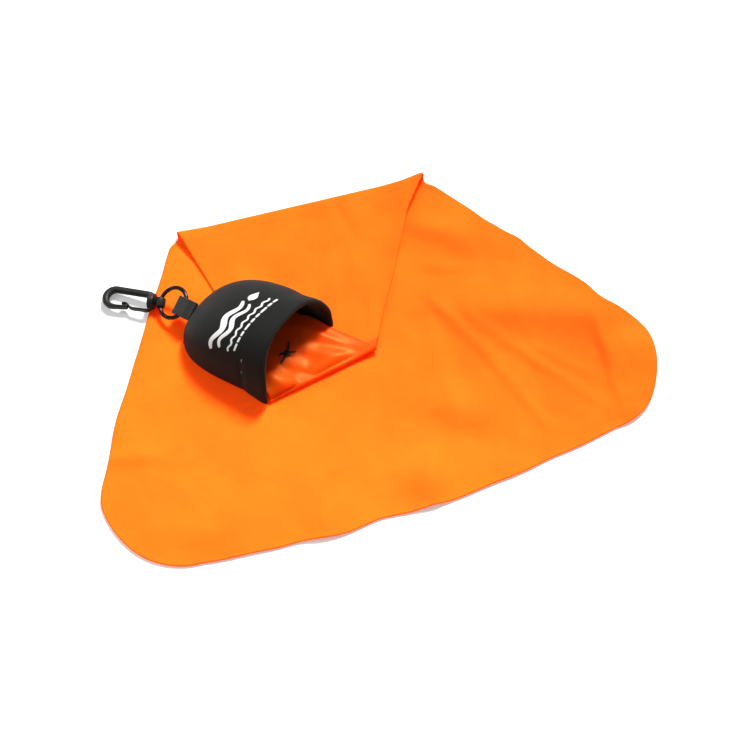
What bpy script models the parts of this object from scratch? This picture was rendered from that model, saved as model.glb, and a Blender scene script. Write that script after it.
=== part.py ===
"""Quick dry towel on a clip: a fan-shaped microfibre towel folded in three layers,
with its narrow end held in a small neoprene pouch that hangs from a snap hook.

Metres, +Z up. The towel lies flat on the XY plane. +X runs along its top fold and
+Y points from its wide hem to that fold. Dimensions below are in millimetres."""

import math

import bmesh
import bpy
import numpy as np
from mathutils import Matrix, Vector

MM = 0.001

# ---- Where the layout sits in the part's frame (mm) ----
SHIFT_X = 1.6425
SHIFT_Y = -9.969
SHIFT_Z = 0.0

# ---- Towel cloth ----
CLOTH = 0.8  # thickness, with its brushed pile
LAYER_GAP = 0.3
FOLD_Y = 93.0  # the straight top fold
FAN_HEM_TILT = math.radians(3.8)  # the wide hem against the fold
FAN_TILT = math.radians(4.1)  # the fan's middle line against the fold's normal
FAN_CENTRE = (-2.0, -21.0)
FAN_HALF_WIDTH = 126.0  # half of the hem side
FAN_SLOPE = 0.594  # how fast each side narrows towards the fold
FAN_CORNER = (32.0, 38.0)  # the rounded lower corners, across and down
FAN_BOTTOM = 43.0  # how far the hem drops below the widest place, at the corners
FAN_BOTTOM_BOW = 8.0  # the hem's bow at its middle
FLAP_TOP = (-67.0, 53.4)  # the fold's two ends, along X
FLAP_LOW_LEFT = (-47.0, -4.5)  # the lower fold's two ends
FLAP_LOW_RIGHT = (5.4, 8.0)
FLAP_SIDE_BOW = 2.5  # the flap's sides curve in
NECK_END_HALF = 15.0  # half-width of the cloth's end inside the pouch
NECK_END_U = 34.0  # how far into the pouch it reaches
NECK_START = 0.09  # it begins a little inside the fold's ends
NECK_PINCH = 6.5  # how quickly its left side draws in past the mouth's foot

# ---- Neoprene pouch, in its own frame: u from mouth to closed end, v across ----
POUCH_O = (-27.8, 10.5)
POUCH_ANGLE = math.radians(135.0)
POUCH_LENGTH = 55.0
POUCH_HALF = 25.5
POUCH_HEIGHT = 27.0
POUCH_HEIGHT_END = 11.0
POUCH_CROWN = 3.0  # the arch swells this much behind the mouth
POUCH_LEAN = 4.5  # the closed end sits this far to one side
NEOPRENE = 2.4
MOUTH_SKEW = -0.107
MOUTH_LEAN = 9.0
POUCH_FLOOR = 2.3  # underside of the back panel: the cloth's two layers are under it

# ---- Webbing tab, ring, swivel and hook ----
TAB_WIDTH = 10.0
TAB_BEYOND = 4.3  # from the ring's wire to the pouch
TAB_FOLD = 4.9  # from the ring's wire to the tab's fold, inside the ring
WEBBING = 0.9
TAB_SLOT = 1.6  # half of the gap that the wire lies in
TAB_TURN = math.radians(20.0)  # where on the ring the tab sits, from opposite the hook
RING_R = 7.05
RING_WIRE = 0.95
RING_RISE = math.radians(25.0)  # the ring climbs from the hook to the tab
RING_ROLL = math.radians(17.5)  # and leans across
EYE_POS = (-81.6, 56.8, 4.9)  # the wire's centre in the swivel's eye
HOOK_ANGLE = math.radians(153.0)
RING_ANGLE = math.radians(155.2)  # the same, for the ring, which lies a little askew
HOOK_DROP = math.radians(6.0)
EYE_TO_BARREL = 3.2
EYE_R = 2.15
EYE_TUBE = 0.8
EYE_HALF_WIDTH = 2.35
HOOK_LENGTH = 23.9
HOOK_HALF_NOSE = 5.85  # half of the hook's width at the nose
HOOK_HALF_ROOT = 4.9  # and beside the barrel
HOOK_BAR = 2.7
HOOK_DEPTH = 3.8
BARREL_R = 3.15
BARREL_LENGTH = 3.3


def clear_scene():
    for o in list(bpy.data.objects):
        bpy.data.objects.remove(o, do_unlink=True)


def place(p):
    """A layout point in millimetres, as a point of the part's frame in metres."""
    return Vector(
        ((p[0] + SHIFT_X) * MM, (p[1] + SHIFT_Y) * MM, (p[2] + SHIFT_Z) * MM)
    )


def material(name, colour, roughness, metallic=0.0):
    m = bpy.data.materials.get(name) or bpy.data.materials.new(name)
    m.use_nodes = True
    s = m.node_tree.nodes["Principled BSDF"]
    s.inputs["Base Color"].default_value = (*colour, 1.0)
    s.inputs["Roughness"].default_value = roughness
    s.inputs["Metallic"].default_value = metallic
    return m


def solid(name, verts, faces, mat, origin=None, smooth=True):
    """A closed mesh from layout points in millimetres, with its origin at the layout point given."""
    o_mm = Vector((0, 0, 0)) if origin is None else Vector(origin)
    base = place(o_mm)
    me = bpy.data.meshes.new(name)
    me.from_pydata([tuple(place(v) - base) for v in verts], [], faces)
    bm = bmesh.new()
    bm.from_mesh(me)
    bmesh.ops.recalc_face_normals(bm, faces=bm.faces)
    bm.to_mesh(me)
    bm.free()
    me.update()
    ob = bpy.data.objects.new(name, me)
    ob.location = base
    bpy.context.scene.collection.objects.link(ob)
    me.materials.append(mat)
    if smooth:
        me.shade_smooth()
        me.set_sharp_from_angle(angle=math.radians(40))
    return ob


def prism(name, outline, low, high, mat, origin=None):
    """An outline in the XY plane, extruded from low to high."""
    n = len(outline)
    verts = [(x, y, low) for x, y in outline] + [(x, y, high) for x, y in outline]
    faces = [tuple(range(n))[::-1], tuple(range(n, 2 * n))]
    faces += [(i, (i + 1) % n, n + (i + 1) % n, n + i) for i in range(n)]
    return solid(name, verts, faces, mat, origin)


def grid_faces(rows, cols, start=0, closed_rows=False):
    out = []
    for i in range(rows if closed_rows else rows - 1):
        for j in range(cols - 1):
            a = start + i * cols + j
            b = start + ((i + 1) % rows) * cols + j
            out.append((a, a + 1, b + 1, b))
    return out


def tube(points, rx, ry, sides, up, closed=False):
    """Vertices and faces of a tube with an elliptic section along points; rx lies across up, ry along it."""
    pts = [Vector(p) for p in points]
    n = len(pts)
    verts, faces = [], []
    for i, p in enumerate(pts):
        if closed:
            t = pts[(i + 1) % n] - pts[i - 1]
        else:
            t = pts[min(i + 1, n - 1)] - pts[max(i - 1, 0)]
        t.normalize()
        side = t.cross(Vector(up)).normalized()
        top = side.cross(t).normalized()
        ax = rx[i] if isinstance(rx, (list, tuple)) else rx
        ay = ry[i] if isinstance(ry, (list, tuple)) else ry
        for k in range(sides):
            a = 2 * math.pi * k / sides
            verts.append(p + side * (ax * math.cos(a)) + top * (ay * math.sin(a)))
    for i in range(n if closed else n - 1):
        j = (i + 1) % n
        for k in range(sides):
            m = (k + 1) % sides
            faces.append((i * sides + k, i * sides + m, j * sides + m, j * sides + k))
    if not closed:
        faces.append(tuple(range(sides))[::-1])
        faces.append(tuple(range((n - 1) * sides, n * sides)))
    return verts, faces


def lathe(profile, sides, origin, axis):
    """A profile of (distance along the axis, radius) turned round it; it closes on itself."""
    a = Vector(axis).normalized()
    s = a.orthogonal().normalized()
    t = a.cross(s)
    o = Vector(origin)
    verts = [
        o
        + a * x
        + (s * math.cos(2 * math.pi * k / sides) + t * math.sin(2 * math.pi * k / sides))
        * r
        for k in range(sides)
        for x, r in profile
    ]
    n = len(profile)
    faces = []
    for k in range(sides):
        m = (k + 1) % sides
        for i in range(n - 1):
            faces.append((k * n + i, k * n + i + 1, m * n + i + 1, m * n + i))
    faces.append(tuple(k * n for k in range(sides)))
    faces.append(tuple(k * n + n - 1 for k in range(sides))[::-1])
    return verts, faces


def boolean(ob, others, operation):
    """Applies an exact Boolean with each of the others, and removes them."""
    for other in others:
        m = ob.modifiers.new("b", "BOOLEAN")
        m.operation = operation
        m.object = other
        m.solver = "EXACT"
        bpy.context.view_layer.update()
        graph = bpy.context.evaluated_depsgraph_get()
        me = bpy.data.meshes.new_from_object(ob.evaluated_get(graph))
        ob.modifiers.clear()
        old = ob.data
        ob.data = me
        bpy.data.meshes.remove(old)
        bpy.data.objects.remove(other, do_unlink=True)
    ob.data.shade_smooth()
    ob.data.set_sharp_from_angle(angle=math.radians(40))
    return ob


# ---------------------------------------------------------------- towel


def fan_point(u, v):
    return (
        FAN_CENTRE[0] + u * math.cos(FAN_HEM_TILT) - v * math.sin(FAN_TILT),
        FAN_CENTRE[1] + u * math.sin(FAN_HEM_TILT) + v * math.cos(FAN_TILT),
    )


def base_layer_outline():
    """The part of the fan below the top fold: straight flared sides, round lower corners, a bowed hem."""
    right = []
    cx = FAN_HALF_WIDTH - FAN_CORNER[0]
    top = FAN_CORNER[1] - FAN_BOTTOM
    # hem, from the middle to the corner
    for i in range(9):
        u = cx * i / 9
        right.append((u, -FAN_BOTTOM - FAN_BOTTOM_BOW * (1 - (u / cx) ** 2)))
    # corner
    for i in range(10):
        a = math.pi / 2 * i / 9
        right.append(
            (cx + FAN_CORNER[0] * math.sin(a), top - FAN_CORNER[1] * math.cos(a))
        )
    # side: it leaves the corner upright and turns into its straight flare
    for i in range(1, 15):
        v = top + (122.0 - top) * i / 14
        d = v - top
        right.append((FAN_HALF_WIDTH - FAN_SLOPE * d * d / (d + 14.0) * 1.04, v))
    left = [(-u, v) for u, v in right[1:]][::-1]
    pts = [fan_point(u, v) for u, v in left + right]
    # cut at the fold line
    out = []
    for i, p in enumerate(pts):
        q = pts[(i + 1) % len(pts)]
        if p[1] <= FOLD_Y:
            out.append(p)
        if (p[1] <= FOLD_Y) != (q[1] <= FOLD_Y):
            k = (FOLD_Y - p[1]) / (q[1] - p[1])
            out.append((p[0] + k * (q[0] - p[0]), FOLD_Y))
    return out


def bowed(a, b, bow, n):
    """Points from a to b on a shallow curve whose middle stands bow to its left."""
    ax, ay = a
    bx, by = b
    dx, dy = bx - ax, by - ay
    length = math.hypot(dx, dy)
    nx, ny = -dy / length, dx / length
    return [
        (
            ax + dx * t + nx * bow * 4 * t * (1 - t),
            ay + dy * t + ny * bow * 4 * t * (1 - t),
        )
        for t in (i / n for i in range(n + 1))
    ]


def flap_outline():
    left = bowed(
        (FLAP_TOP[0] + 1, FOLD_Y - 0.4), FLAP_LOW_LEFT, FLAP_SIDE_BOW, 8
    )
    right = bowed(
        FLAP_LOW_RIGHT, (FLAP_TOP[1] - 1, FOLD_Y - 0.4), FLAP_SIDE_BOW, 8
    )
    return left + right


def pouch_point(u, v):
    c, s = math.cos(POUCH_ANGLE), math.sin(POUCH_ANGLE)
    return (POUCH_O[0] + u * c + v * s, POUCH_O[1] + u * s - v * c)


def neck_section(t):
    """The neck's two side points and height at t, from 0 at the lower fold to 1 in the pouch."""
    ends = []
    for start, v, steep in (
        (FLAP_LOW_LEFT, -NECK_END_HALF - 1.0, NECK_PINCH),
        (FLAP_LOW_RIGHT, NECK_END_HALF - 1.0, 0.9),
    ):
        ex, ey = pouch_point(NECK_END_U * t, v)
        k = NECK_START + (1 - NECK_START) * (1 - (1 - t) ** steep)
        ends.append((start[0] + (ex - start[0]) * k, start[1] + (ey - start[1]) * k))
    low = 2 * CLOTH + 2 * LAYER_GAP
    rise = min(1.0, t / 0.36)
    z = low + (POUCH_FLOOR + NEOPRENE + 0.5 - low) * rise * rise * (3 - 2 * rise)
    return ends[0], ends[1], z


def neck_layer(mat):
    rows, cols = 15, 9
    verts = []
    for layer in (0, 1):
        for i in range(rows):
            a, b, z = neck_section(i / (rows - 1))
            for j in range(cols):
                s = j / (cols - 1)
                verts.append(
                    (
                        a[0] + (b[0] - a[0]) * s,
                        a[1] + (b[1] - a[1]) * s,
                        z + CLOTH * layer,
                    )
                )
    n = rows * cols
    faces = [f[::-1] for f in grid_faces(rows, cols)] + grid_faces(rows, cols, n)
    ring = (
        [j for j in range(cols)]
        + [i * cols + cols - 1 for i in range(1, rows)]
        + [(rows - 1) * cols + j for j in range(cols - 2, -1, -1)]
        + [i * cols for i in range(rows - 2, 0, -1)]
    )
    for a, b in zip(ring, ring[1:] + ring[:1]):
        faces.append((a, b, b + n, a + n))
    return solid(
        "towel_neck_layer",
        verts,
        faces,
        mat,
        (
            (FLAP_LOW_LEFT[0] + FLAP_LOW_RIGHT[0]) / 2,
            (FLAP_LOW_LEFT[1] + FLAP_LOW_RIGHT[1]) / 2,
            2 * CLOTH + 1.5 * LAYER_GAP,
        ),
    )


# ---------------------------------------------------------------- pouch


def plan_half(u, inset):
    length, half = POUCH_LENGTH - inset, POUCH_HALF - inset
    k = min(1.0, max(0.0, u / length))
    taper = POUCH_LEAN * k**3
    return (half - taper) * math.sqrt(max(0.0, 1 - k**5.5)) * (1 - 0.07 * (1 - k) ** 2)


def plan_middle(u):
    """The middle line's offset across: the closed end leans to one side."""
    return -POUCH_LEAN * min(1.0, max(0.0, u / POUCH_LENGTH)) ** 3


def dome_height(u, inset):
    length = POUCH_LENGTH - inset
    k = min(1.0, max(0.0, u / length))
    crown = POUCH_HEIGHT + (POUCH_HEIGHT_END - POUCH_HEIGHT) * k**1.6
    crown += POUCH_CROWN * math.sin(math.pi * k)
    return (crown - inset) * math.sqrt(max(0.0, 1 - k**5.5))


def dome_point(t, phi, inset, z0):
    """A point of the pouch's arched panel: t from the mouth to the closed end, phi round the arch."""
    c, s = math.cos(phi), math.sin(phi)
    # a full arch: a rounded box more than a half circle
    cc = math.copysign(abs(c) ** 0.85, c)
    ss = abs(s) ** 0.85
    lean = MOUTH_LEAN * ss**1.3
    start = -MOUTH_SKEW * POUCH_HALF * cc + lean
    length = POUCH_LENGTH - inset
    u = start + (length - start) * t
    v = plan_middle(u) - plan_half(u, inset) * cc
    z = z0 + dome_height(u, inset) * ss
    x, y = pouch_point(u, v)
    return (x, y, z)


def along(i, n):
    """Rows that crowd towards the closed end, where the panel turns down."""
    return math.sin(math.pi / 2 * i / n) ** 0.9


def top_panel(mat):
    rows, cols = 16, 21
    verts, faces = [], []
    for inset in (0.0, NEOPRENE):
        for i in range(rows):
            for j in range(cols):
                verts.append(
                    dome_point(
                        along(i, rows), math.pi * j / (cols - 1), inset, POUCH_FLOOR
                    )
                )
    n = rows * cols
    tip_out = len(verts)
    verts.append((*pouch_point(POUCH_LENGTH, -POUCH_LEAN), POUCH_FLOOR))
    tip_in = len(verts)
    verts.append((*pouch_point(POUCH_LENGTH - NEOPRENE, -POUCH_LEAN), POUCH_FLOOR))
    faces += grid_faces(rows, cols) + [f[::-1] for f in grid_faces(rows, cols, n)]
    last = (rows - 1) * cols
    for j in range(cols - 1):
        faces.append((last + j, last + j + 1, tip_out))
        faces.append((n + last + j + 1, n + last + j, tip_in))
    # rims: the mouth, and the two long lower edges down to the closed end
    for j in range(cols - 1):
        faces.append((j + 1, j, n + j, n + j + 1))
    for i in range(rows - 1):
        a, b = i * cols, (i + 1) * cols
        faces.append((a, b, n + b, n + a))
        a, b = a + cols - 1, b + cols - 1
        faces.append((b, a, n + a, n + b))
    faces.append((last, tip_out, tip_in, n + last))
    faces.append((tip_out, last + cols - 1, n + last + cols - 1, tip_in))
    return solid("pouch_top_panel", verts, faces, mat, pouch_origin())


def pouch_origin():
    return (
        (FLAP_LOW_LEFT[0] + FLAP_LOW_RIGHT[0]) / 2,
        (FLAP_LOW_LEFT[1] + FLAP_LOW_RIGHT[1]) / 2,
        2 * CLOTH + 1.5 * LAYER_GAP,
    )


def edge_loop(inset, n=26, start=0.0, short=0.0):
    """The pouch's plan outline, from one foot of the mouth round the closed end to the other."""
    out = []
    for i in range(n + 1):
        a = math.pi * i / n
        c = math.cos(a)
        k = along(abs(1 - abs(1 - 2 * i / n)) * n, n)
        u0 = -MOUTH_SKEW * POUCH_HALF * (1 if c >= 0 else -1) + start
        u = u0 + (POUCH_LENGTH - inset - short - u0) * k
        side = -1 if i < n / 2 else 1
        half = plan_half(u * (POUCH_LENGTH - inset) / (POUCH_LENGTH - inset - short), inset)
        v = plan_middle(u) + (half * side if i != n / 2 else 0.0)
        out.append((u, v))
    return out


def back_panel(mat):
    outline = [
        pouch_point(u, v) for u, v in edge_loop(NEOPRENE + 0.4, 26, 9.0, 2.5)
    ]
    return prism(
        "pouch_back_panel",
        outline,
        POUCH_FLOOR,
        POUCH_FLOOR + NEOPRENE - 0.2,
        mat,
        pouch_origin(),
    )


def edge_seam(mat):
    """The stitched seam allowance where the two panels meet, inside along the bottom edge."""
    pts = [
        (*pouch_point(u, v), POUCH_FLOOR + NEOPRENE + 0.75)
        for u, v in edge_loop(NEOPRENE + 1.3, 30, 10.5, 4.5)
    ]
    verts, faces = tube(pts, 0.55, 0.5, 6, (0, 0, 1))
    return solid("pouch_edge_seam", verts, faces, mat, pouch_origin())


def mouth_hem(mat):
    """A turned-in strip that lines the mouth's arch."""
    rows, cols = 4, 17
    depth = 7.0
    verts, faces = [], []
    for inset in (NEOPRENE + 0.3, NEOPRENE + 1.2):
        for i in range(rows):
            for j in range(cols):
                phi = math.pi * (0.14 + 0.72 * j / (cols - 1))
                t = 0.012 + depth / POUCH_LENGTH * i / (rows - 1)
                verts.append(dome_point(t, phi, inset, POUCH_FLOOR))
    n = rows * cols
    faces += grid_faces(rows, cols) + [f[::-1] for f in grid_faces(rows, cols, n)]
    ring = (
        [j for j in range(cols)]
        + [i * cols + cols - 1 for i in range(1, rows)]
        + [(rows - 1) * cols + j for j in range(cols - 2, -1, -1)]
        + [i * cols for i in range(rows - 2, 0, -1)]
    )
    for a, b in zip(ring, ring[1:] + ring[:1]):
        faces.append((b, a, a + n, b + n))
    return solid("pouch_mouth_hem", verts, faces, mat, pouch_origin())


def retaining_knot(mat):
    """The knotted thread that keeps the towel's end in the pouch."""
    p = Vector((*pouch_point(7.0, -1.7), POUCH_FLOOR + NEOPRENE + 0.5 + CLOTH + 1.5))
    d = Vector((*pouch_point(7.5, 7.1), 0)) - Vector((*pouch_point(7.0, -1.7), 0))
    d.z = 0
    d.normalize()
    pts, r = [], []
    for i in range(13):
        s = -1 + 2 * i / 12
        pts.append(p + d * (5.0 * s) + Vector((0, 0, 0.5 * math.cos(3 * s))))
        r.append(0.35 + 0.85 * math.exp(-((s / 0.22) ** 2)))
    verts, faces = tube(pts, r, r, 8, (0, 0, 1))
    return solid("retaining_knot", verts, faces, mat, pouch_origin())


def bar_tack(mat):
    """Short rows of stitches on the pouch's side near the mouth."""
    rows, cols = 2, 6
    verts, faces = [], []
    for inset in (-0.3, -0.9):
        for i in range(rows):
            for j in range(cols):
                phi = math.pi * (0.1 + 0.12 * j / (cols - 1))
                verts.append(dome_point(0.155 + 0.02 * i, phi, inset, POUCH_FLOOR))
    n = rows * cols
    faces += grid_faces(rows, cols) + [f[::-1] for f in grid_faces(rows, cols, n)]
    ring = (
        [j for j in range(cols)]
        + [i * cols + cols - 1 for i in range(1, rows)]
        + [(rows - 1) * cols + j for j in range(cols - 2, -1, -1)]
        + [i * cols for i in range(rows - 2, 0, -1)]
    )
    for a, b in zip(ring, ring[1:] + ring[:1]):
        faces.append((b, a, a + n, b + n))
    return solid("pouch_bar_tack", verts, faces, mat, pouch_origin())


# ---------------------------------------------------------------- tab and ring


def hook_axes():
    """Along the hook to its nose, across it, and up from its flat side."""
    flat = Vector((math.cos(HOOK_ANGLE), math.sin(HOOK_ANGLE), 0))
    y = Vector((flat.y, -flat.x, 0))
    y = y if y.y > 0 else -y
    x = flat * math.cos(HOOK_DROP) - Vector((0, 0, math.sin(HOOK_DROP)))
    z = x.cross(y)
    z = z if z.z > 0 else -z
    return x.normalized(), y, z.normalized()


def ring_axes():
    """From the swivel's eye across the ring, the wire's direction in the eye, and the ring's normal."""
    x = Vector((math.cos(RING_ANGLE), math.sin(RING_ANGLE), 0))
    y = Vector((-x.y, x.x, 0))
    y = y if y.y > 0 else -y
    wire = y * math.cos(RING_ROLL) + Vector((0, 0, math.sin(RING_ROLL)))
    e = (-x).cross(wire).normalized()
    e = e if e.z > 0 else -e
    d = (-x * math.cos(RING_RISE) + e * math.sin(RING_RISE)).normalized()
    n = d.cross(wire).normalized()
    return d, wire, (n if n.z > 0 else -n)


def ring_centre():
    return Vector(EYE_POS) + ring_axes()[0] * RING_R


def tab_axes():
    """The wire's centre in the tab, the direction to the pouch, across the webbing, and its normal."""
    d, wire, n = ring_axes()
    c, s = math.cos(TAB_TURN), math.sin(TAB_TURN)
    p = ring_centre() + d * (RING_R * c) - wire * (RING_R * s)
    across = (wire * c + d * s).normalized()
    out = (d * c - wire * s).normalized()
    return p, out, across, n


def tab_root():
    p, out, _, _ = tab_axes()
    return p + out * TAB_BEYOND


def webbing_tab(mat):
    """A folded length of webbing: two layers at the pouch, open round the ring."""
    p, out, across, n = tab_axes()
    half = TAB_SLOT + WEBBING
    outer, inner = [], []
    for i in range(9):
        t = math.pi * i / 8
        c = -(TAB_FOLD - half)
        outer.append((c - half * math.sin(t), half * math.cos(t)))
        inner.append((c - TAB_SLOT * math.sin(t), TAB_SLOT * math.cos(t)))
    e = TAB_BEYOND
    outer = [(e, WEBBING + 0.1), (e - 1.4, WEBBING + 0.45), (1.1, half)] + outer
    outer += [(1.1, -half), (e - 1.4, -WEBBING - 0.45), (e, -WEBBING - 0.1)]
    inner = [(e - 0.8, 0.12), (e - 1.5, 0.45), (1.1, TAB_SLOT)] + inner
    inner += [(1.1, -TAB_SLOT), (e - 1.5, -0.45), (e - 0.8, -0.12)]
    verts, faces = [], []
    for side in (-1, 1):
        for loop in (outer, inner):
            for x, z in loop:
                verts.append(p + out * x + across * (side * TAB_WIDTH / 2) + n * z)
    m = len(outer)
    for i in range(m):
        j = (i + 1) % m
        faces.append((i, j, 2 * m + j, 2 * m + i))
        faces.append((m + j, m + i, 3 * m + i, 3 * m + j))
        faces.append((j, i, m + i, m + j))
        faces.append((2 * m + i, 2 * m + j, 3 * m + j, 3 * m + i))
    return solid("webbing_tab", verts, faces, mat, tuple(tab_root()))


def tab_stitch(mat):
    """The bar of stitches across the tab, just above where it enters the pouch."""
    _, out, across, n = tab_axes()
    p = tab_root() - out * 0.8 + n * (WEBBING + 0.9)
    pts = [p + across * (TAB_WIDTH * 0.42 * (-1 + 2 * i / 6)) for i in range(7)]
    verts, faces = tube(pts, 0.3, 0.22, 6, n)
    return solid("tab_stitch", verts, faces, mat, tuple(tab_root()))


def ring(mat):
    d, wire, n = ring_axes()
    c = ring_centre()
    pts = [
        c
        + d * (RING_R * math.cos(2 * math.pi * i / 36))
        + wire * (RING_R * math.sin(2 * math.pi * i / 36))
        for i in range(36)
    ]
    verts, faces = tube(pts, RING_WIRE, RING_WIRE, 8, n, closed=True)
    return solid("ring", verts, faces, mat, tuple(tab_axes()[0]))


def swivel_eye(mat):
    """A round eye on a stem whose head turns inside the hook's barrel."""
    x, _, _ = hook_axes()
    _, wire, _ = ring_axes()
    up = x.cross(wire).normalized()
    across = up.cross(x).normalized()
    e = Vector(EYE_POS)
    pts = [
        e
        + x * (EYE_R * math.cos(2 * math.pi * i / 24))
        + up * (EYE_R * math.sin(2 * math.pi * i / 24))
        for i in range(24)
    ]
    verts, faces = tube(pts, EYE_TUBE, EYE_HALF_WIDTH, 12, across, closed=True)
    eye = solid("swivel_eye", verts, faces, mat, EYE_POS)
    stem = [
        (EYE_R - 0.1, 0.95),
        (EYE_TO_BARREL + 0.95, 0.95),
        (EYE_TO_BARREL + 1.0, 1.65),
        (EYE_TO_BARREL + 1.6, 1.75),
        (EYE_TO_BARREL + 2.05, 1.3),
    ]
    verts, faces = lathe(stem, 14, e, x)
    other = solid("stem", verts, faces, mat, EYE_POS)
    return boolean(eye, [other], "UNION")


# ---------------------------------------------------------------- snap hook


def hook_point(px, py, pz=0.0):
    """A point in the hook's own frame: px from the barrel's end face to the nose, py across, pz up."""
    x, y, z = hook_axes()
    return Vector(EYE_POS) + x * (EYE_TO_BARREL + px) + y * py + z * pz


def nose_centre():
    return HOOK_LENGTH - HOOK_HALF_NOSE


def hook_body(mat):
    """A moulded back bar that turns round the nose, on a barrel with a stepped socket."""
    x, y, z = hook_axes()
    end = nose_centre()
    bar = HOOK_BAR / 2
    line, wide, deep = [], [], []
    for i in range(10):
        t = (i / 9) ** 1.4
        px = 1.4 + (end - 1.4) * t
        outer = HOOK_HALF_ROOT + (HOOK_HALF_NOSE - HOOK_HALF_ROOT) * t
        outer = min(outer, BARREL_R + 0.5 * max(0.0, px - 1.6))
        line.append((px, outer - bar))
        wide.append(bar)
        deep.append(HOOK_DEPTH / 2 * (0.9 + 0.1 * t))
    for i in range(1, 13):
        a = math.pi * i / 12
        thick = bar + 0.35 * math.sin(a) - 0.35 * (i / 12)
        r = HOOK_HALF_NOSE - thick
        line.append((end + r * math.sin(a), r * math.cos(a)))
        wide.append(thick)
        deep.append(HOOK_DEPTH / 2)
    for i in (1, 2, 3):
        line.append((end - 2.2 * i, -HOOK_HALF_NOSE + 0.95 + 0.15 * i))
        wide.append(0.95 - 0.07 * i)
        deep.append(HOOK_DEPTH / 2 - 0.1)
    pts = [hook_point(*p) for p in line]
    verts, faces = tube(pts, wide, deep, 10, z)
    origin = tuple(hook_point(0, 0))
    body = solid("hook_body", verts, faces, mat, origin)
    barrel = [
        (0.0, BARREL_R - 0.6),
        (0.4, BARREL_R - 0.2),
        (BARREL_LENGTH - 0.5, BARREL_R + 0.1),
        (BARREL_LENGTH, BARREL_R - 0.4),
    ]
    verts, faces = lathe(barrel, 20, hook_point(0, 0), x)
    boolean(body, [solid("barrel", verts, faces, mat, origin)], "UNION")
    bore = [(-1.0, 1.25), (0.7, 1.25), (0.72, 2.0), (2.4, 2.0)]
    verts, faces = lathe(bore, 16, hook_point(0, 0), x)
    return boolean(body, [solid("bore", verts, faces, mat, origin)], "DIFFERENCE")


def gate_line():
    end = nose_centre()
    low = -HOOK_HALF_NOSE
    return [
        (BARREL_LENGTH - 1.2, -BARREL_R - 0.9),
        (BARREL_LENGTH + 0.6, -HOOK_HALF_ROOT - 0.1),
        (BARREL_LENGTH + 2.6, low + 1.0),
        (end - 9.6, low + 1.05),
        (end - 8.0, low + 1.5),
        (end - 6.6, low + 2.95),
        (end - 4.4, low + 3.15),
    ]


def hook_gate(mat):
    """The springy tongue from the barrel to the inside of the nose."""
    _, _, z = hook_axes()
    line = gate_line()
    pts = [hook_point(*p) for p in line]
    verts, faces = tube(
        pts,
        [0.45, 0.5, 0.5, 0.5, 0.5, 0.5, 0.4],
        [1.2, 1.3, 1.3, 1.3, 1.3, 1.3, 1.2],
        8,
        z,
    )
    return solid("hook_gate", verts, faces, mat, tuple(hook_point(*line[0])))


def main():
    clear_scene()
    cloth = material("microfibre", (0.95, 0.24, 0.02), 0.75)
    neck = material("microfibre_face", (0.95, 0.2, 0.02), 0.5)
    neoprene = material("neoprene", (0.015, 0.017, 0.015), 0.8)
    thread = material("thread", (0.01, 0.01, 0.01), 0.7)
    webbing = material("webbing", (0.04, 0.037, 0.03), 0.8)
    metal = material("ring_metal", (0.06, 0.055, 0.05), 0.3, 1.0)
    plastic = material("acetal", (0.02, 0.021, 0.02), 0.4)
    prism("towel_base_layer", base_layer_outline(), 0.0, CLOTH, cloth)
    prism(
        "towel_middle_layer",
        flap_outline(),
        CLOTH + LAYER_GAP,
        2 * CLOTH + LAYER_GAP,
        cloth,
        (0, FOLD_Y, CLOTH + LAYER_GAP / 2),
    )
    neck_layer(neck)
    top_panel(neoprene)
    back_panel(neoprene)
    edge_seam(thread)
    mouth_hem(thread)
    retaining_knot(thread)
    bar_tack(thread)
    webbing_tab(webbing)
    tab_stitch(thread)
    ring(metal)
    swivel_eye(plastic)
    hook_body(plastic)
    hook_gate(plastic)


main()
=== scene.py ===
"""Quick dry towel on a clip: the finished look on the CAD frame.

Working units are millimetres in the layout (x along the top fold, y from the wide hem to that
fold, z up); new_object() turns them into the frame's metres."""

import math

import bmesh
import bpy
import numpy as np
from mathutils import Matrix, Vector
from mathutils.geometry import delaunay_2d_cdt


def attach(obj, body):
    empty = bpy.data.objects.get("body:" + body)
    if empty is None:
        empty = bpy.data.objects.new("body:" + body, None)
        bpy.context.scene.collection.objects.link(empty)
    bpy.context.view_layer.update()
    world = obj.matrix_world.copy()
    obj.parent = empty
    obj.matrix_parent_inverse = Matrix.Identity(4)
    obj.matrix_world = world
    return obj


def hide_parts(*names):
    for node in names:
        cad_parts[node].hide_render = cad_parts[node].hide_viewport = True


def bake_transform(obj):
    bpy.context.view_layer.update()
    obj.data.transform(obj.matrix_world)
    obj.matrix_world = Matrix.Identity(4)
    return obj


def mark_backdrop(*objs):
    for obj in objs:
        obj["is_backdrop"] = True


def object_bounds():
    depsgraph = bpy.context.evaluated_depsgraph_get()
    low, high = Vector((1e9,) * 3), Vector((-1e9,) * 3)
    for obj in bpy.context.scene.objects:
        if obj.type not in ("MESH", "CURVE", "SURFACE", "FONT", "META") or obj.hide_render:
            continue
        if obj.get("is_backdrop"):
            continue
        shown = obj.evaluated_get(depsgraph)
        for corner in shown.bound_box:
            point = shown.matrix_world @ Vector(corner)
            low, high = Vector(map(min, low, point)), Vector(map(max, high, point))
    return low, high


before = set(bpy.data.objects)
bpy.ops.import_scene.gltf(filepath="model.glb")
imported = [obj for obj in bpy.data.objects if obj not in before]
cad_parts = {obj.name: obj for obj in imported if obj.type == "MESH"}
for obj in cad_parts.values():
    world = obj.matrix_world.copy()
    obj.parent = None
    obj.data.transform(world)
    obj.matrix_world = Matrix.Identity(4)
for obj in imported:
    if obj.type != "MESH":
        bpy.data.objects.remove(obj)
CAD_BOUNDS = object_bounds()

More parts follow.
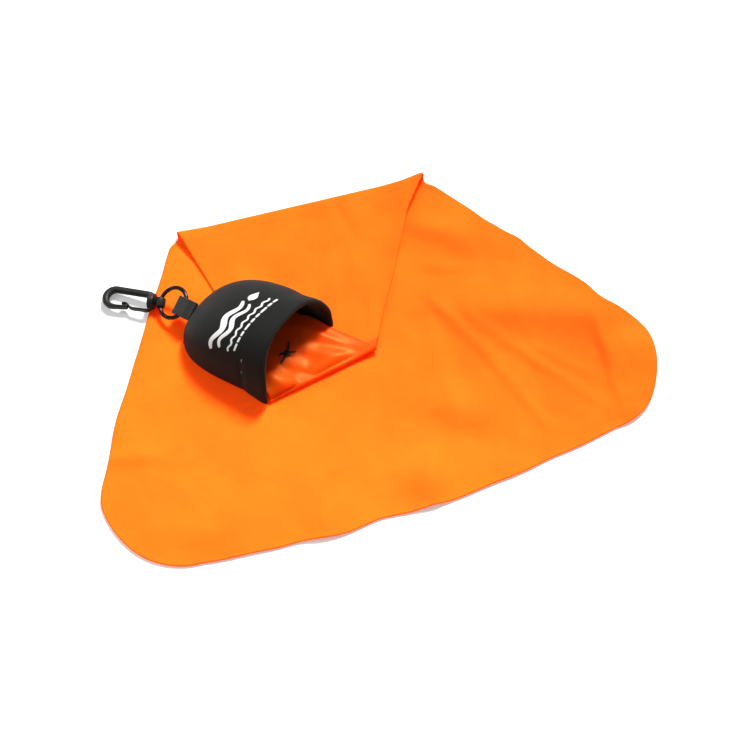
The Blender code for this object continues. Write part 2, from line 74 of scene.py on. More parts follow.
# ---------------------------------------------------------------- dimensions (mm)
SHIFT = np.array([1.6425, -9.969, 0.0])
FOLD_Y = 93.0
FAN_HEM_TILT = math.radians(3.8)
FAN_TILT = math.radians(4.1)
FAN_CENTRE = (-2.0, -21.0)
FAN_HALF_WIDTH = 126.0
FAN_SLOPE = 0.594
FAN_CORNER = (32.0, 38.0)
FAN_BOTTOM = 43.0
FAN_BOTTOM_BOW = 8.0
FLAP_TOP = (-67.0, 53.4)
FLAP_LOW_LEFT = np.array([-47.0, -4.5])
FLAP_LOW_RIGHT = np.array([5.4, 8.0])
FLAP_SIDE_BOW = 2.5
NECK_END_HALF = 15.0
NECK_END_U = 34.0

BASE_Z = 0.38  # the lower layer's middle surface
FLAP_Z = 1.42  # and the folded layer's
CLOTH_HALF = 0.33
HEM_HALF = 0.41  # the rolled edge
HEM_WIDE = 1.0
SEAM_BACK = 6.0  # the fold strips reach this far from each fold

POUCH_O = (-27.8, 10.5)
POUCH_ANGLE = math.radians(135.0)
POUCH_LENGTH = 55.0
POUCH_HALF = 25.5
POUCH_HEIGHT = 28.0
POUCH_HEIGHT_END = 12.5
POUCH_CROWN = 1.8
POUCH_LEAN = 4.5
NEOPRENE = 2.4
MOUTH_SKEW = -0.107
MOUTH_LEAN = 9.0
POUCH_Z = 3.1

TAB_WIDTH = 8.7
TAB_BEYOND = 4.3
TAB_FOLD = 4.9
WEBBING = 0.9
TAB_SLOT = 1.6
TAB_TURN = math.radians(20.0)
RING_R = 7.05
RING_WIRE = 0.95
RING_RISE = math.radians(25.0)
RING_ROLL = math.radians(17.5)
EYE_POS = (-81.6, 56.8, 4.9)
HOOK_ANGLE = math.radians(153.0)
RING_ANGLE = math.radians(155.2)
HOOK_DROP = math.radians(6.0)
EYE_TO_BARREL = 2.5
EYE_R = 1.8
HOOK_LENGTH = 24.7
HOOK_HALF_NOSE = 5.85
HOOK_HALF_ROOT = 4.9
HOOK_BAR = 3.2
HOOK_DEPTH = 3.3
BARREL_R = 3.8
BARREL_LENGTH = 2.9


def smooth(x):
    x = np.clip(x, 0.0, 1.0)
    return x * x * (3 - 2 * x)


def unit(v):
    v = np.asarray(v, float)
    return v / max(np.linalg.norm(v), 1e-12)


def new_object(name, verts, faces, mat, uv=None, uv2=None, sharp=None):
    """A mesh from layout points; uv and uv2 are one pair for each vertex."""
    pts = (np.asarray(verts, float) + SHIFT) / 1000.0
    me = bpy.data.meshes.new(name)
    me.from_pydata([tuple(p) for p in pts], [], faces)
    me.update()
    for label, data in (("UVMap", uv), ("Edge", uv2)):
        if data is None:
            continue
        layer = me.uv_layers.new(name=label)
        index = np.empty(len(me.loops), np.int32)
        me.loops.foreach_get("vertex_index", index)
        layer.data.foreach_set(
            "uv", np.asarray(data, np.float32)[index].reshape(-1)
        )
    me.materials.append(mat)
    ob = bpy.data.objects.new(name, me)
    bpy.context.scene.collection.objects.link(ob)
    me.shade_smooth()
    if sharp:
        me.set_sharp_from_angle(angle=math.radians(sharp))
    return ob


def outward(ob):
    bm = bmesh.new()
    bm.from_mesh(ob.data)
    bmesh.ops.recalc_face_normals(bm, faces=bm.faces)
    bm.to_mesh(ob.data)
    bm.free()
    return ob


def grid_normals(P):
    du = np.gradient(P, axis=0)
    dv = np.gradient(P, axis=1)
    n = np.cross(dv, du)
    length = np.linalg.norm(n, axis=2, keepdims=True)
    return n / np.maximum(length, 1e-12)


def tube_mesh(name, pts, rx, ry, sides, up, mat, closed=False, square=1.0, cap=0):
    """A swept section; square under 1 makes it a rounded box, cap adds rounded ends."""
    pts = [np.asarray(p, float) for p in pts]
    n = len(pts)
    rx = np.full(n, rx) if np.isscalar(rx) else np.asarray(rx, float)
    ry = np.full(n, ry) if np.isscalar(ry) else np.asarray(ry, float)
    frames = []
    for i in range(n):
        t = (
            pts[(i + 1) % n] - pts[i - 1]
            if closed
            else pts[min(i + 1, n - 1)] - pts[max(i - 1, 0)]
        )
        t = unit(t)
        side = unit(np.cross(t, up))
        frames.append((pts[i], t, side, unit(np.cross(side, t)), rx[i], ry[i]))
    if cap and not closed:
        head, tail = [], []
        for k in range(1, cap + 1):
            a = math.pi / 2 * k / cap
            p, t, s, u, x, y = frames[0]
            r = min(x, y)
            head.append((p - t * r * math.sin(a), t, s, u, x * max(math.cos(a), 0.02), y * max(math.cos(a), 0.02)))
            p, t, s, u, x, y = frames[-1]
            r = min(x, y)
            tail.append((p + t * r * math.sin(a), t, s, u, x * max(math.cos(a), 0.02), y * max(math.cos(a), 0.02)))
        frames = head[::-1] + frames + tail
    n = len(frames)
    verts, faces, uv = [], [], []
    run = 0.0
    for i, (p, t, s, u, x, y) in enumerate(frames):
        if i:
            run += float(np.linalg.norm(p - frames[i - 1][0]))
        for k in range(sides):
            a = 2 * math.pi * k / sides
            c, d = math.cos(a), math.sin(a)
            c = math.copysign(abs(c) ** square, c)
            d = math.copysign(abs(d) ** square, d)
            verts.append(p + s * (x * c) + u * (y * d))
            uv.append((run / 100.0, k / sides * 2 * math.pi * max(x, y) / 100.0))
    for i in range(n if closed else n - 1):
        j = (i + 1) % n
        for k in range(sides):
            m = (k + 1) % sides
            faces.append((i * sides + k, i * sides + m, j * sides + m, j * sides + k))
    if not closed:
        faces.append(tuple(range(sides))[::-1])
        faces.append(tuple(range((n - 1) * sides, n * sides)))
    return outward(new_object(name, verts, faces, mat, uv, sharp=50))


def lathe_mesh(name, profile, sides, origin, axis, mat, sharp=35):
    a = unit(axis)
    s = unit(np.cross(a, (0.31, 0.2, 0.93)))
    t = np.cross(a, s)
    o = np.asarray(origin, float)
    verts, faces, uv = [], [], []
    for k in range(sides):
        c, d = math.cos(2 * math.pi * k / sides), math.sin(2 * math.pi * k / sides)
        for x, r in profile:
            verts.append(o + a * x + (s * c + t * d) * r)
            uv.append((x / 100.0, 2 * math.pi * k / sides * 3.0 / 100.0))
    n = len(profile)
    for k in range(sides):
        m = (k + 1) % sides
        for i in range(n - 1):
            faces.append((k * n + i, k * n + i + 1, m * n + i + 1, m * n + i))
    faces.append(tuple(k * n for k in range(sides)))
    faces.append(tuple(k * n + n - 1 for k in range(sides))[::-1])
    return outward(new_object(name, verts, faces, mat, uv, sharp=sharp))


def rounded(profile, r=0.25, steps=4):
    """A lathe profile with its inner corners rounded."""
    out = [profile[0]]
    for i in range(1, len(profile) - 1):
        p, q, w = (np.array(profile[j], float) for j in (i - 1, i, i + 1))
        a, b = p - q, w - q
        la, lb = np.linalg.norm(a), np.linalg.norm(b)
        k = min(r, la / 2.2, lb / 2.2)
        a, b = q + a / la * k, q + b / lb * k
        for j in range(steps + 1):
            f = j / steps
            out.append(tuple((1 - f) ** 2 * a + 2 * f * (1 - f) * q + f * f * b))
    out.append(profile[-1])
    return out


def join(name, obs):
    bpy.ops.object.select_all(action="DESELECT")
    for o in obs:
        o.select_set(True)
    bpy.context.view_layer.objects.active = obs[0]
    bpy.ops.object.join()
    ob = bpy.context.view_layer.objects.active
    ob.name = name
    ob.data.name = name
    return ob


# ---------------------------------------------------------------- materials
class Nodes:
    def __init__(self, name):
        self.m = bpy.data.materials.new(name)
        self.m.use_nodes = True
        self.t = self.m.node_tree
        self.s = self.t.nodes["Principled BSDF"]

    def node(self, kind, **k):
        n = self.t.nodes.new(kind)
        for a, b in k.items():
            setattr(n, a, b)
        return n

    def link(self, a, b):
        self.t.links.new(a, b)

    def value(self, socket, v):
        if hasattr(v, "is_linked") or isinstance(v, bpy.types.NodeSocket):
            self.link(v, socket)
        else:
            socket.default_value = v

    def math(self, op, a, b=0.0, c=0.0, clamp=False):
        n = self.node("ShaderNodeMath", operation=op, use_clamp=clamp)
        self.value(n.inputs[0], a)
        self.value(n.inputs[1], b)
        if len(n.inputs) > 2:
            self.value(n.inputs[2], c)
        return n.outputs[0]

    def uv(self, name="UVMap"):
        return self.node("ShaderNodeUVMap", uv_map=name).outputs[0]

    def coords(self, kind="Object"):
        return self.node("ShaderNodeTexCoord").outputs[kind]

    def scaled(self, vector, scale, turn=0.0):
        n = self.node("ShaderNodeMapping")
        self.link(vector, n.inputs["Vector"])
        n.inputs["Scale"].default_value = scale
        n.inputs["Rotation"].default_value = (0, 0, turn)
        return n.outputs[0]

    def noise(self, vector, scale, detail=2.0, rough=0.5, distortion=0.0):
        n = self.node("ShaderNodeTexNoise")
        self.link(vector, n.inputs["Vector"])
        n.inputs["Scale"].default_value = scale
        n.inputs["Detail"].default_value = detail
        n.inputs["Roughness"].default_value = rough
        n.inputs["Distortion"].default_value = distortion
        return n.outputs["Fac"]

    def wave(self, vector, scale, direction="X", distortion=0.0, profile="SIN"):
        n = self.node("ShaderNodeTexWave", wave_type="BANDS", bands_direction=direction, wave_profile=profile)
        self.link(vector, n.inputs["Vector"])
        n.inputs["Scale"].default_value = scale
        n.inputs["Distortion"].default_value = distortion
        n.inputs["Detail"].default_value = 0.0
        return n.outputs["Fac"]

    def ramp(self, fac, stops):
        n = self.node("ShaderNodeValToRGB")
        self.link(fac, n.inputs[0])
        r = n.color_ramp
        while len(r.elements) < len(stops):
            r.elements.new(0.5)
        for e, (p, c) in zip(r.elements, stops):
            e.position = p
            e.color = (*c, 1.0) if len(c) == 3 else c
        return n.outputs[0]

    def mix(self, fac, a, b):
        n = self.node("ShaderNodeMix", data_type="RGBA")
        self.value(n.inputs[0], fac)
        for s, v in ((n.inputs[6], a), (n.inputs[7], b)):
            if isinstance(v, tuple):
                s.default_value = (*v, 1.0)
            else:
                self.link(v, s)
        return n.outputs[2]

    def span(self, x, lo, hi, a=0.0, b=1.0):
        n = self.node("ShaderNodeMapRange", interpolation_type="SMOOTHSTEP")
        self.value(n.inputs[0], x)
        for i, v in enumerate((lo, hi, a, b)):
            n.inputs[i + 1].default_value = v
        return n.outputs[0]

    def bump(self, height, distance, strength=1.0, normal=None):
        n = self.node("ShaderNodeBump")
        self.link(height, n.inputs["Height"])
        n.inputs["Distance"].default_value = distance
        n.inputs["Strength"].default_value = strength
        if normal is not None:
            self.link(normal, n.inputs["Normal"])
        return n.outputs[0]

    def set(self, **k):
        for a, b in k.items():
            self.value(self.s.inputs[a.replace("_", " ")], b)
        return self


def cloth_material(name, colour, deep, hem, rough, sheen, gloss=0.0, calm=1.0):
    """Split-fibre microfibre: a fine woven ground under a short nap, with a rolled, overlocked edge.
    UVMap is the flat cloth in units of 100 mm; Edge is (length along, distance in from) its free edge."""
    n = Nodes(name)
    flat = n.uv()
    edge = n.node("ShaderNodeSeparateXYZ")
    n.link(n.uv("Edge"), edge.inputs[0])
    along, inwards = edge.outputs[0], edge.outputs[1]
    hem_mask = n.span(inwards, 0.0055, 0.0085, 1.0, 0.0)
    weave_a = n.wave(n.scaled(flat, (1, 1, 1), 0.02), 52.0, "X")
    weave_b = n.wave(n.scaled(flat, (1, 1, 1), 0.02), 52.0, "Y")
    weave = n.math("MULTIPLY", weave_a, weave_b)
    nap = n.noise(flat, 420.0, 3.0, 0.6)
    tuft = n.noise(flat, 95.0, 3.0, 0.62, 0.4)
    soft = n.noise(flat, 3.2, 3.0, 0.55, 0.3)
    laid = n.node("ShaderNodeSeparateXYZ")
    n.link(flat, laid.inputs[0])
    # painted shade: the dye is made a little deeper towards the far right, standing in for the light falling off away
    # from the lower left; the same ramp also scales the crease bumps
    far = n.math("MINIMUM", laid.outputs[1], 0.35)
    way = n.span(n.math("MULTIPLY_ADD", laid.outputs[0], 0.75, far), -0.7, 0.75)
    # random soft mottling plus the painted shade ramp
    mottle_and_painted_shade = n.math("ADD", n.math("MULTIPLY", n.span(soft, 0.3, 0.7), -0.3), n.math("MULTIPLY", way, -0.7))
    colour_socket = n.mix(n.math("ADD", mottle_and_painted_shade, 1.0, clamp=True), deep, colour)
    tint = n.mix(n.math("MULTIPLY", n.span(nap, 0.35, 0.65), 0.16), colour_socket, deep)
    tint = n.mix(n.math("MULTIPLY", n.span(tuft, 0.45, 0.7), 0.10), tint, deep)
    stitches = n.wave(n.scaled(n.uv("Edge"), (1, 0.35, 1)), 38.0, "X")
    tint = n.mix(n.math("MULTIPLY", hem_mask, n.math("MULTIPLY_ADD", stitches, -0.35, 0.8)), tint, hem)
    height = n.math("ADD", n.math("MULTIPLY", weave, 0.35), n.math("MULTIPLY", nap, 0.65))
    height = n.math("ADD", height, n.math("MULTIPLY", tuft, 0.5))
    creases = n.noise(n.scaled(flat, (2.4, 0.8, 1.0), 0.62), 2.2, 1.0, 0.4, 0.6)
    creases = n.math("MULTIPLY", creases, n.math("MULTIPLY_ADD", way, 0.9, 0.22))
    low = n.bump(creases, 0.0036 * calm, 0.8, n.bump(soft, 0.0026 * calm, 0.7))
    mid = n.bump(n.noise(flat, 14.0, 4.0, 0.5, 0.8), 0.00045 * calm, 0.45, low)
    fine = n.bump(height, 0.00009, 0.55, mid)
    thread = n.math("MULTIPLY", hem_mask, stitches)
    last = n.bump(thread, 0.0002, 0.8, fine)
    n.set(Base_Color=tint, Roughness=n.span(nap, 0.2, 0.8, rough - 0.06, rough + 0.06), Normal=last)
    n.s.inputs["Sheen Weight"].default_value = sheen
    n.s.inputs["Sheen Roughness"].default_value = 0.45
    n.s.subsurface_method = "BURLEY"
    n.s.inputs["Subsurface Weight"].default_value = 0.75
    n.s.inputs["Subsurface Radius"].default_value = (1.0, 0.07, 0.02)
    n.s.inputs["Subsurface Scale"].default_value = 0.010
    n.s.inputs["Sheen Tint"].default_value = (1.0, 0.30, 0.06, 1.0)
    n.s.inputs["Specular Tint"].default_value = (1.0, 0.36, 0.07, 1.0)
    n.s.inputs["Specular IOR Level"].default_value = 0.12 + gloss
    return n.m


def neoprene_material():
    """Foam rubber faced with fine black jersey: knitted wales and courses, a little fuzz."""
    n = Nodes("neoprene_jersey")
    flat = n.uv()
    wale = n.wave(n.scaled(flat, (1, 1, 1)), 62.0, "X", 0.4)
    course = n.wave(n.scaled(flat, (1, 1, 1)), 74.0, "Y", 0.4)
    knit = n.math("MULTIPLY", n.math("POWER", wale, 0.7), n.math("POWER", course, 0.5))
    fuzz = n.noise(flat, 260.0, 3.0, 0.65)
    soft = n.noise(flat, 5.0, 3.0, 0.5)
    tone = n.mix(n.span(soft, 0.35, 0.65), (0.0075, 0.0082, 0.0066), (0.0108, 0.0115, 0.0095))
    tone = n.mix(n.math("MULTIPLY", n.span(fuzz, 0.5, 0.75), 0.3), tone, (0.019, 0.020, 0.0175))
    tone = n.mix(n.math("MULTIPLY", knit, 0.3), (0.005, 0.0055, 0.0045), tone)
    low = n.bump(soft, 0.0011, 0.5)
    mid = n.bump(n.noise(flat, 22.0, 3.0, 0.5), 0.0003, 0.35, low)
    fine = n.bump(n.math("ADD", knit, n.math("MULTIPLY", fuzz, 0.7)), 0.00012, 0.6, mid)
    n.set(Base_Color=tone, Roughness=n.span(fuzz, 0.2, 0.8, 0.62, 0.82), Normal=fine)
    n.s.inputs["Sheen Weight"].default_value = 0.06
    n.s.inputs["Sheen Roughness"].default_value = 0.5
    n.s.inputs["Specular IOR Level"].default_value = 0.16
    return n.m


def thread_material(name, colour, rough=0.6):
    n = Nodes(name)
    flat = n.uv()
    twist = n.wave(n.scaled(flat, (1, 2.2, 1), 0.7), 120.0, "X")
    tone = n.mix(twist, tuple(c * 0.6 for c in colour), colour)
    n.set(Base_Color=tone, Roughness=rough, Normal=n.bump(twist, 0.00006, 0.7))
    n.s.inputs["Sheen Weight"].default_value = 0.15
    n.s.inputs["Specular IOR Level"].default_value = 0.25
    return n.m


def webbing_material():
    """Plain woven tape: plied warp cords with the weft passing over and under."""
    n = Nodes("woven_tape")
    flat = n.uv()
    warp = n.wave(flat, 27.0, "Y")
    weft = n.wave(flat, 30.0, "X")
    alt = n.wave(n.scaled(flat, (1, 1, 1)), 10.5, "Y", 0.0, "TRI")
    cords = n.math("ADD", n.math("MULTIPLY", warp, 0.7), n.math("MULTIPLY", n.math("MULTIPLY", weft, alt), 0.6))
    fibre = n.noise(n.scaled(flat, (1, 6, 1)), 160.0, 2.0, 0.6)
    tone = n.mix(n.span(cords, 0.2, 1.0), (0.016, 0.0145, 0.0115), (0.032, 0.029, 0.0235))
    tone = n.mix(n.math("MULTIPLY", fibre, 0.4), tone, (0.045, 0.041, 0.034))
    n.set(Base_Color=tone, Roughness=0.72, Normal=n.bump(n.math("ADD", cords, n.math("MULTIPLY", fibre, 0.3)), 0.00014, 0.6))
    n.s.inputs["Sheen Weight"].default_value = 0.1
    n.s.inputs["Specular IOR Level"].default_value = 0.25
    return n.m


def metal_material():
    """Black nickel plating on wire: nearly smooth, with faint draw marks and a few rubbed spots."""
    n = Nodes("black_nickel")
    at = n.uv()
    draw = n.noise(n.scaled(at, (1, 30, 1)), 60.0, 2.0, 0.5)
    wear = n.noise(at, 40.0, 4.0, 0.6)
    tone = n.mix(n.span(wear, 0.55, 0.75), (0.03, 0.027, 0.025), (0.085, 0.075, 0.068))
    n.set(Base_Color=tone, Metallic=0.85, Roughness=n.span(wear, 0.3, 0.7, 0.2, 0.34), Normal=n.bump(draw, 0.00002, 0.5))
    n.s.inputs["Specular IOR Level"].default_value = 0.5
    return n.m


def plastic_material():
    """Moulded acetal: satin, with a fine spark-eroded grain and soft handling marks."""
    n = Nodes("moulded_acetal")
    at = n.coords("Object")
    grain = n.noise(at, 5200.0, 2.0, 0.6)
    marks = n.noise(at, 420.0, 4.0, 0.6)
    tone = n.mix(n.span(marks, 0.4, 0.7), (0.0082, 0.0078, 0.0062), (0.0130, 0.0123, 0.0100))
    n.set(Base_Color=tone, Roughness=n.span(marks, 0.3, 0.7, 0.42, 0.56), Normal=n.bump(grain, 0.00003, 0.4, n.bump(marks, 0.00005, 0.35)))
    n.s.inputs["Specular IOR Level"].default_value = 0.30
    return n.m


def print_material():
    """Screen-printed white ink: matt, with the knit showing through a little."""
    n = Nodes("white_print")
    flat = n.uv()
    grain = n.noise(flat, 300.0, 3.0, 0.6)
    tone = n.mix(n.span(grain, 0.3, 0.7), (0.72, 0.72, 0.7), (0.86, 0.86, 0.85))
    n.set(Base_Color=tone, Roughness=0.55, Normal=n.bump(grain, 0.00006, 0.6))
    n.s.inputs["Specular IOR Level"].default_value = 0.2
    return n.m


def floor_material():
    n = Nodes("studio_floor")
    at = n.coords("Object")
    grain = n.noise(at, 900.0, 2.0, 0.5)
    tone = n.mix(n.math("MULTIPLY", grain, 0.15), (0.88, 0.88, 0.88), (0.86, 0.86, 0.86))
    n.set(Base_Color=tone, Roughness=0.9)
    n.s.inputs["Specular IOR Level"].default_value = 0.0
    n.s.inputs["Emission Color"].default_value = (1.0, 1.0, 1.0, 1.0)
    n.s.inputs["Emission Strength"].default_value = 0.30
    return n.m


ORANGE = cloth_material("microfibre", (0.96, 0.206, 0.0125), (0.93, 0.122, 0.0075), (0.92, 0.145, 0.008), 0.85, 0.05)
# painted shade: the neck's cloth takes a redder, darker orange, partly for its satin face and partly standing in for
# the shade and orange bounce light under the pouch
SATIN_AND_SHADE = cloth_material("microfibre_face", (0.97, 0.099, 0.0028), (0.93, 0.065, 0.0018), (0.80, 0.040, 0.0015), 0.40, 0.0, 0.42, 0.15)
NEO = neoprene_material()
THREAD = thread_material("black_thread", (0.016, 0.016, 0.015))
GREY_THREAD = thread_material("grey_thread", (0.30, 0.30, 0.28))
TAPE = webbing_material()
METAL = metal_material()
PLASTIC = plastic_material()
PRINT = print_material()


# ---------------------------------------------------------------- cloth: shape
def fan_point(u, v):
    return np.array(
        [
            FAN_CENTRE[0] + u * math.cos(FAN_HEM_TILT) - v * math.sin(FAN_TILT),
            FAN_CENTRE[1] + u * math.sin(FAN_HEM_TILT) + v * math.cos(FAN_TILT),
        ]
    )


def fan_outline():
    """The lower layer's edge from the fold line's left end round to its right end, before the ripples."""
    right = []
    cx = FAN_HALF_WIDTH - FAN_CORNER[0]
    top = FAN_CORNER[1] - FAN_BOTTOM
    for i in range(60):
        u = cx * i / 60
        right.append((u, -FAN_BOTTOM - FAN_BOTTOM_BOW * (1 - (u / cx) ** 2)))
    for i in range(41):
        a = math.pi / 2 * i / 40
        right.append((cx + FAN_CORNER[0] * math.sin(a), top - FAN_CORNER[1] * math.cos(a)))
    for i in range(1, 101):
        v = top + (124.0 - top) * i / 100
        d = v - top
        right.append((FAN_HALF_WIDTH - FAN_SLOPE * d * d / (d + 14.0) * 1.04, v))
    left = [(-u, v) for u, v in right[1:]][::-1]
    return np.array([fan_point(u, v) for u, v in left + right])


# where the edge stands out or draws in: x, y, how far out, half-length along the edge
RIPPLES = (
    (84.0, 47.0, 1.3, 6.0),
    (96.0, 31.0, -0.9, 8.0),
    (72.0, 62.0, -0.7, 6.0),
    (109.0, 6.0, -2.0, 7.0),
    (117.5, -8.0, 0.7, 9.0),
    (-15.0, -72.0, -1.5, 9.0),
    (-34.0, -74.0, 0.8, 8.0),
    (-52.0, -74.5, -0.9, 7.0),
    (22.0, -69.5, 0.6, 12.0),
    (62.0, -63.5, -0.5, 10.0),
    (-118.0, -13.0, -0.6, 8.0),
    (-110.0, 8.0, 0.5, 10.0),
)


def resample(pts, step):
    seg = np.linalg.norm(np.diff(pts, axis=0), axis=1)
    run = np.concatenate([[0], np.cumsum(seg)])
    n = max(2, int(round(run[-1] / step)))
    at = np.linspace(0, run[-1], n + 1)
    return np.stack([np.interp(at, run, pts[:, k]) for k in range(pts.shape[1])], 1), at


def edge_line(step=1.1):
    pts, run = resample(fan_outline(), step)
    t = np.gradient(pts, axis=0)
    t /= np.linalg.norm(t, axis=1, keepdims=True)
    out = np.stack([t[:, 1], -t[:, 0]], 1)
    shift = np.zeros(len(pts))
    for x, y, amount, wide in RIPPLES:
        i = int(np.argmin(np.hypot(pts[:, 0] - x, pts[:, 1] - y)))
        shift += amount * np.exp(-(((run - run[i]) / wide) ** 2))
    shift += 0.28 * np.sin(run / 6.3) * np.sin(run / 31.0 + 0.7)
    shift *= smooth((FOLD_Y - 4 - pts[:, 1]) / 14.0)
    return pts + out * shift[:, None]


EDGE = edge_line()
EDGE_IN = EDGE[1:-1] if EDGE[0][1] > 400 else EDGE


# ridges and creases: from, to, height, reach to the left and right of that direction, soft ends
RIDGES = (
    ((48.0, 18.5), (111.0, -3.0), 4.6, 17.0, 9.5, 0.2),
    ((104.5, -6.0), (101.5, -56.0), 1.5, 12.0, 3.7, 0.28),
    ((103.5, -8.0), (100.5, -46.0), 0.7, 1.6, 1.2, 0.3),
    ((126.0, -22.0), (106.0, -24.0), 4.2, 16.0, 12.0, 0.35),
    ((36.0, 74.0), (62.0, 53.0), 3.0, 8.0, 6.5, 0.35),
    ((38.0, 46.0), (58.0, 38.0), 0.8, 4.0, 2.6, 0.3),
    ((34.0, 32.0), (52.0, -6.0), 0.95, 2.6, 2.6, 0.3),
    ((52.0, -6.0), (66.0, -48.0), 1.1, 2.8, 2.8, 0.3),
    ((54.0, 8.0), (92.0, -44.0), 1.0, 2.8, 2.8, 0.25),
    ((70.0, -6.0), (100.0, -36.0), 0.5, 2.8, 2.6, 0.3),
    ((32.0, 14.0), (30.0, -30.0), 1.15, 3.2, 4.5, 0.3),
    ((18.0, -22.0), (44.0, -36.0), 3.0, 13.0, 9.0, 0.35),
    ((-2.0, -54.0), (14.0, -62.0), 2.8, 13.0, 8.0, 0.45),
    ((16.0, -40.0), (6.0, -76.0), 1.4, 4.0, 6.0, 0.35),
    ((-36.0, -60.0), (-46.0, -82.0), 1.1, 9.0, 7.0, 0.4),
    ((-122.0, -12.0), (-100.0, -16.0), 1.4, 5.0, 3.6, 0.4),
    ((-112.0, -50.0), (-76.0, -60.0), 1.2, 9.0, 6.0, 0.4),
    ((-100.0, -45.0), (-40.0, -56.0), 0.45, 10.0, 10.0, 0.4),
)


def ridge(x, y, a, b, h, left, right, soft):
    ax, ay = a
    dx, dy = b[0] - ax, b[1] - ay
    length = math.hypot(dx, dy)
    t = ((x - ax) * dx + (y - ay) * dy) / length**2
    d = ((x - ax) * dy - (y - ay) * dx) / length
    w = np.where(d > 0, right, left)
    ends = smooth((t + soft) / (2 * soft)) * smooth((1 + soft - t) / (2 * soft))
    return h * np.exp(-((d / w) ** 2)) * ends


def base_height(x, y):
    """The lower layer's middle surface above the ground."""
    z = np.zeros_like(x)
    for r in RIDGES:
        z = z + ridge(x, y, *r)
    z = z + 0.10 * (1 + np.sin(x / 17.0 + 1.3 * np.sin(y / 23.0)) * np.sin(y / 14.0 + 0.8))
    z = z + 0.05 * (1 + np.sin(x / 6.1 + 0.4 * y / 5.0))
    under = smooth((y - 60.0) / 22.0)
    flap = smooth((x - flap_side(1, y) + 2) / 10.0) + smooth((flap_side(0, y) + 2 - x) / 10.0)
    open_air = np.clip(flap + smooth((-y - 2) / 10.0), 0, 1)
    return BASE_Z + z * (1 - under) * (0.15 + 0.85 * open_air)


def bow_side(k, t):
    """The folded layer's side line at t from the top fold (0) to the lower fold (1); k is 0 left, 1 right."""
    a = np.array([FLAP_TOP[0] + 1.0, FOLD_Y]) if k == 0 else np.array([FLAP_TOP[1] - 0.6, FOLD_Y])
    b = FLAP_LOW_LEFT if k == 0 else FLAP_LOW_RIGHT
    d = b - a
    n = np.array([-d[1], d[0]]) / np.linalg.norm(d)
    n = n if (n[0] > 0) == (k == 0) else -n
    t = np.asarray(t, float)
    bow = FLAP_SIDE_BOW * 4 * t * (1 - t)
    if k == 1:
        bow = bow + 1.1 * np.exp(-(((t - 0.22) / 0.1) ** 2)) - 0.8 * np.exp(-(((t - 0.6) / 0.16) ** 2))
    return a + d * t[..., None] + n * bow[..., None]


def flap_side(k, y):
    t = np.clip((FOLD_Y - y) / (FOLD_Y - (FLAP_LOW_LEFT if k == 0 else FLAP_LOW_RIGHT)[1]), 0, 1)
    return bow_side(k, t)[..., 0]


NEAR = np.array([0.0, 0.10, 0.24, 0.46, 0.80, 1.15, 2.2])
INNER = 66


def columns(width):
    mid = np.linspace(NEAR[-1], width - NEAR[-1], INNER)[1:-1]
    return np.concatenate([NEAR, mid, (width - NEAR)[::-1]])


def hem_profile(d):
    """Half the cloth's thickness at a distance in from its free edge."""
    r = HEM_HALF
    round_part = np.sqrt(np.clip(1 - (1 - np.clip(d / r, 0, 1)) ** 2, 0, 1)) * r
    back = smooth((d - HEM_WIDE) / 0.6)
    return round_part * (1 - back) + CLOTH_HALF * back


def roll_top(s):
    return 1.15 + 1.0 * smooth((s - 0.80) / 0.2) + 0.75 * smooth((0.14 - s) / 0.14)


def roll_low(s):
    return 0.44 + 0.34 * smooth(s / 0.3) + 0.16 * smooth((s - 0.72) / 0.28)


def flap_height(s, t, d):
    """The folded layer's middle surface: d is the distance from the top fold in mm."""
    w = 56 + 62 * (1 - t)
    z = FLAP_Z + (BASE_Z + 2 * roll_top(s) - FLAP_Z) * np.exp(-((d / 12.0) ** 2))
    z = z + 2.1 * np.exp(-(((1 - s) * w / 8.0) ** 2)) * np.exp(-(((d - 12) / 18.0) ** 2))
    z = z + 0.55 * np.exp(-((s * w / 7.0) ** 2)) * np.exp(-(((d - 5) / 6.5) ** 2))
    side = 0.15 + 0.85 * smooth(s * w / 14.0)
    z = z + 0.45 * np.exp(-(((1 - s) * w / 5.0) ** 2))
    z = z + 0.95 * np.exp(-(((s - 0.60 - 0.06 * t) * w / 4.5) ** 2)) * smooth((t - 0.12) / 0.3) * smooth((1.0 - t) / 0.3)
    z = z + 0.8 * np.exp(-(((s - 0.74) * w / 3.5) ** 2)) * smooth((t - 0.3) / 0.2) * smooth((0.85 - t) / 0.2)
    z = z + side * 0.30 * (1 + np.sin(s * 9.0 + 2.4 * t + 0.5)) * smooth(t / 0.2) * smooth((1 - t) / 0.15)
    z = z + side * 0.14 * (1 + np.sin(s * 23.0 - 6.0 * t))
    z = z + 0.5 * np.exp(-(((1 - s) * w / 7.0) ** 2)) * np.exp(-(((1 - t) * 88 / 12.0) ** 2))
    return z


def cloth_row(a, b, zs):
    """One row of the cloth from side point a to side point b; zs gives its height from s."""
    width = float(np.linalg.norm(b - a))
    dist = columns(width)
    s = dist / width
    xy = a + (b - a) * s[:, None]
    z = zs(s, xy)
    return np.concatenate([xy, z[:, None]], 1), s, np.minimum(dist, width - dist) * 0.9


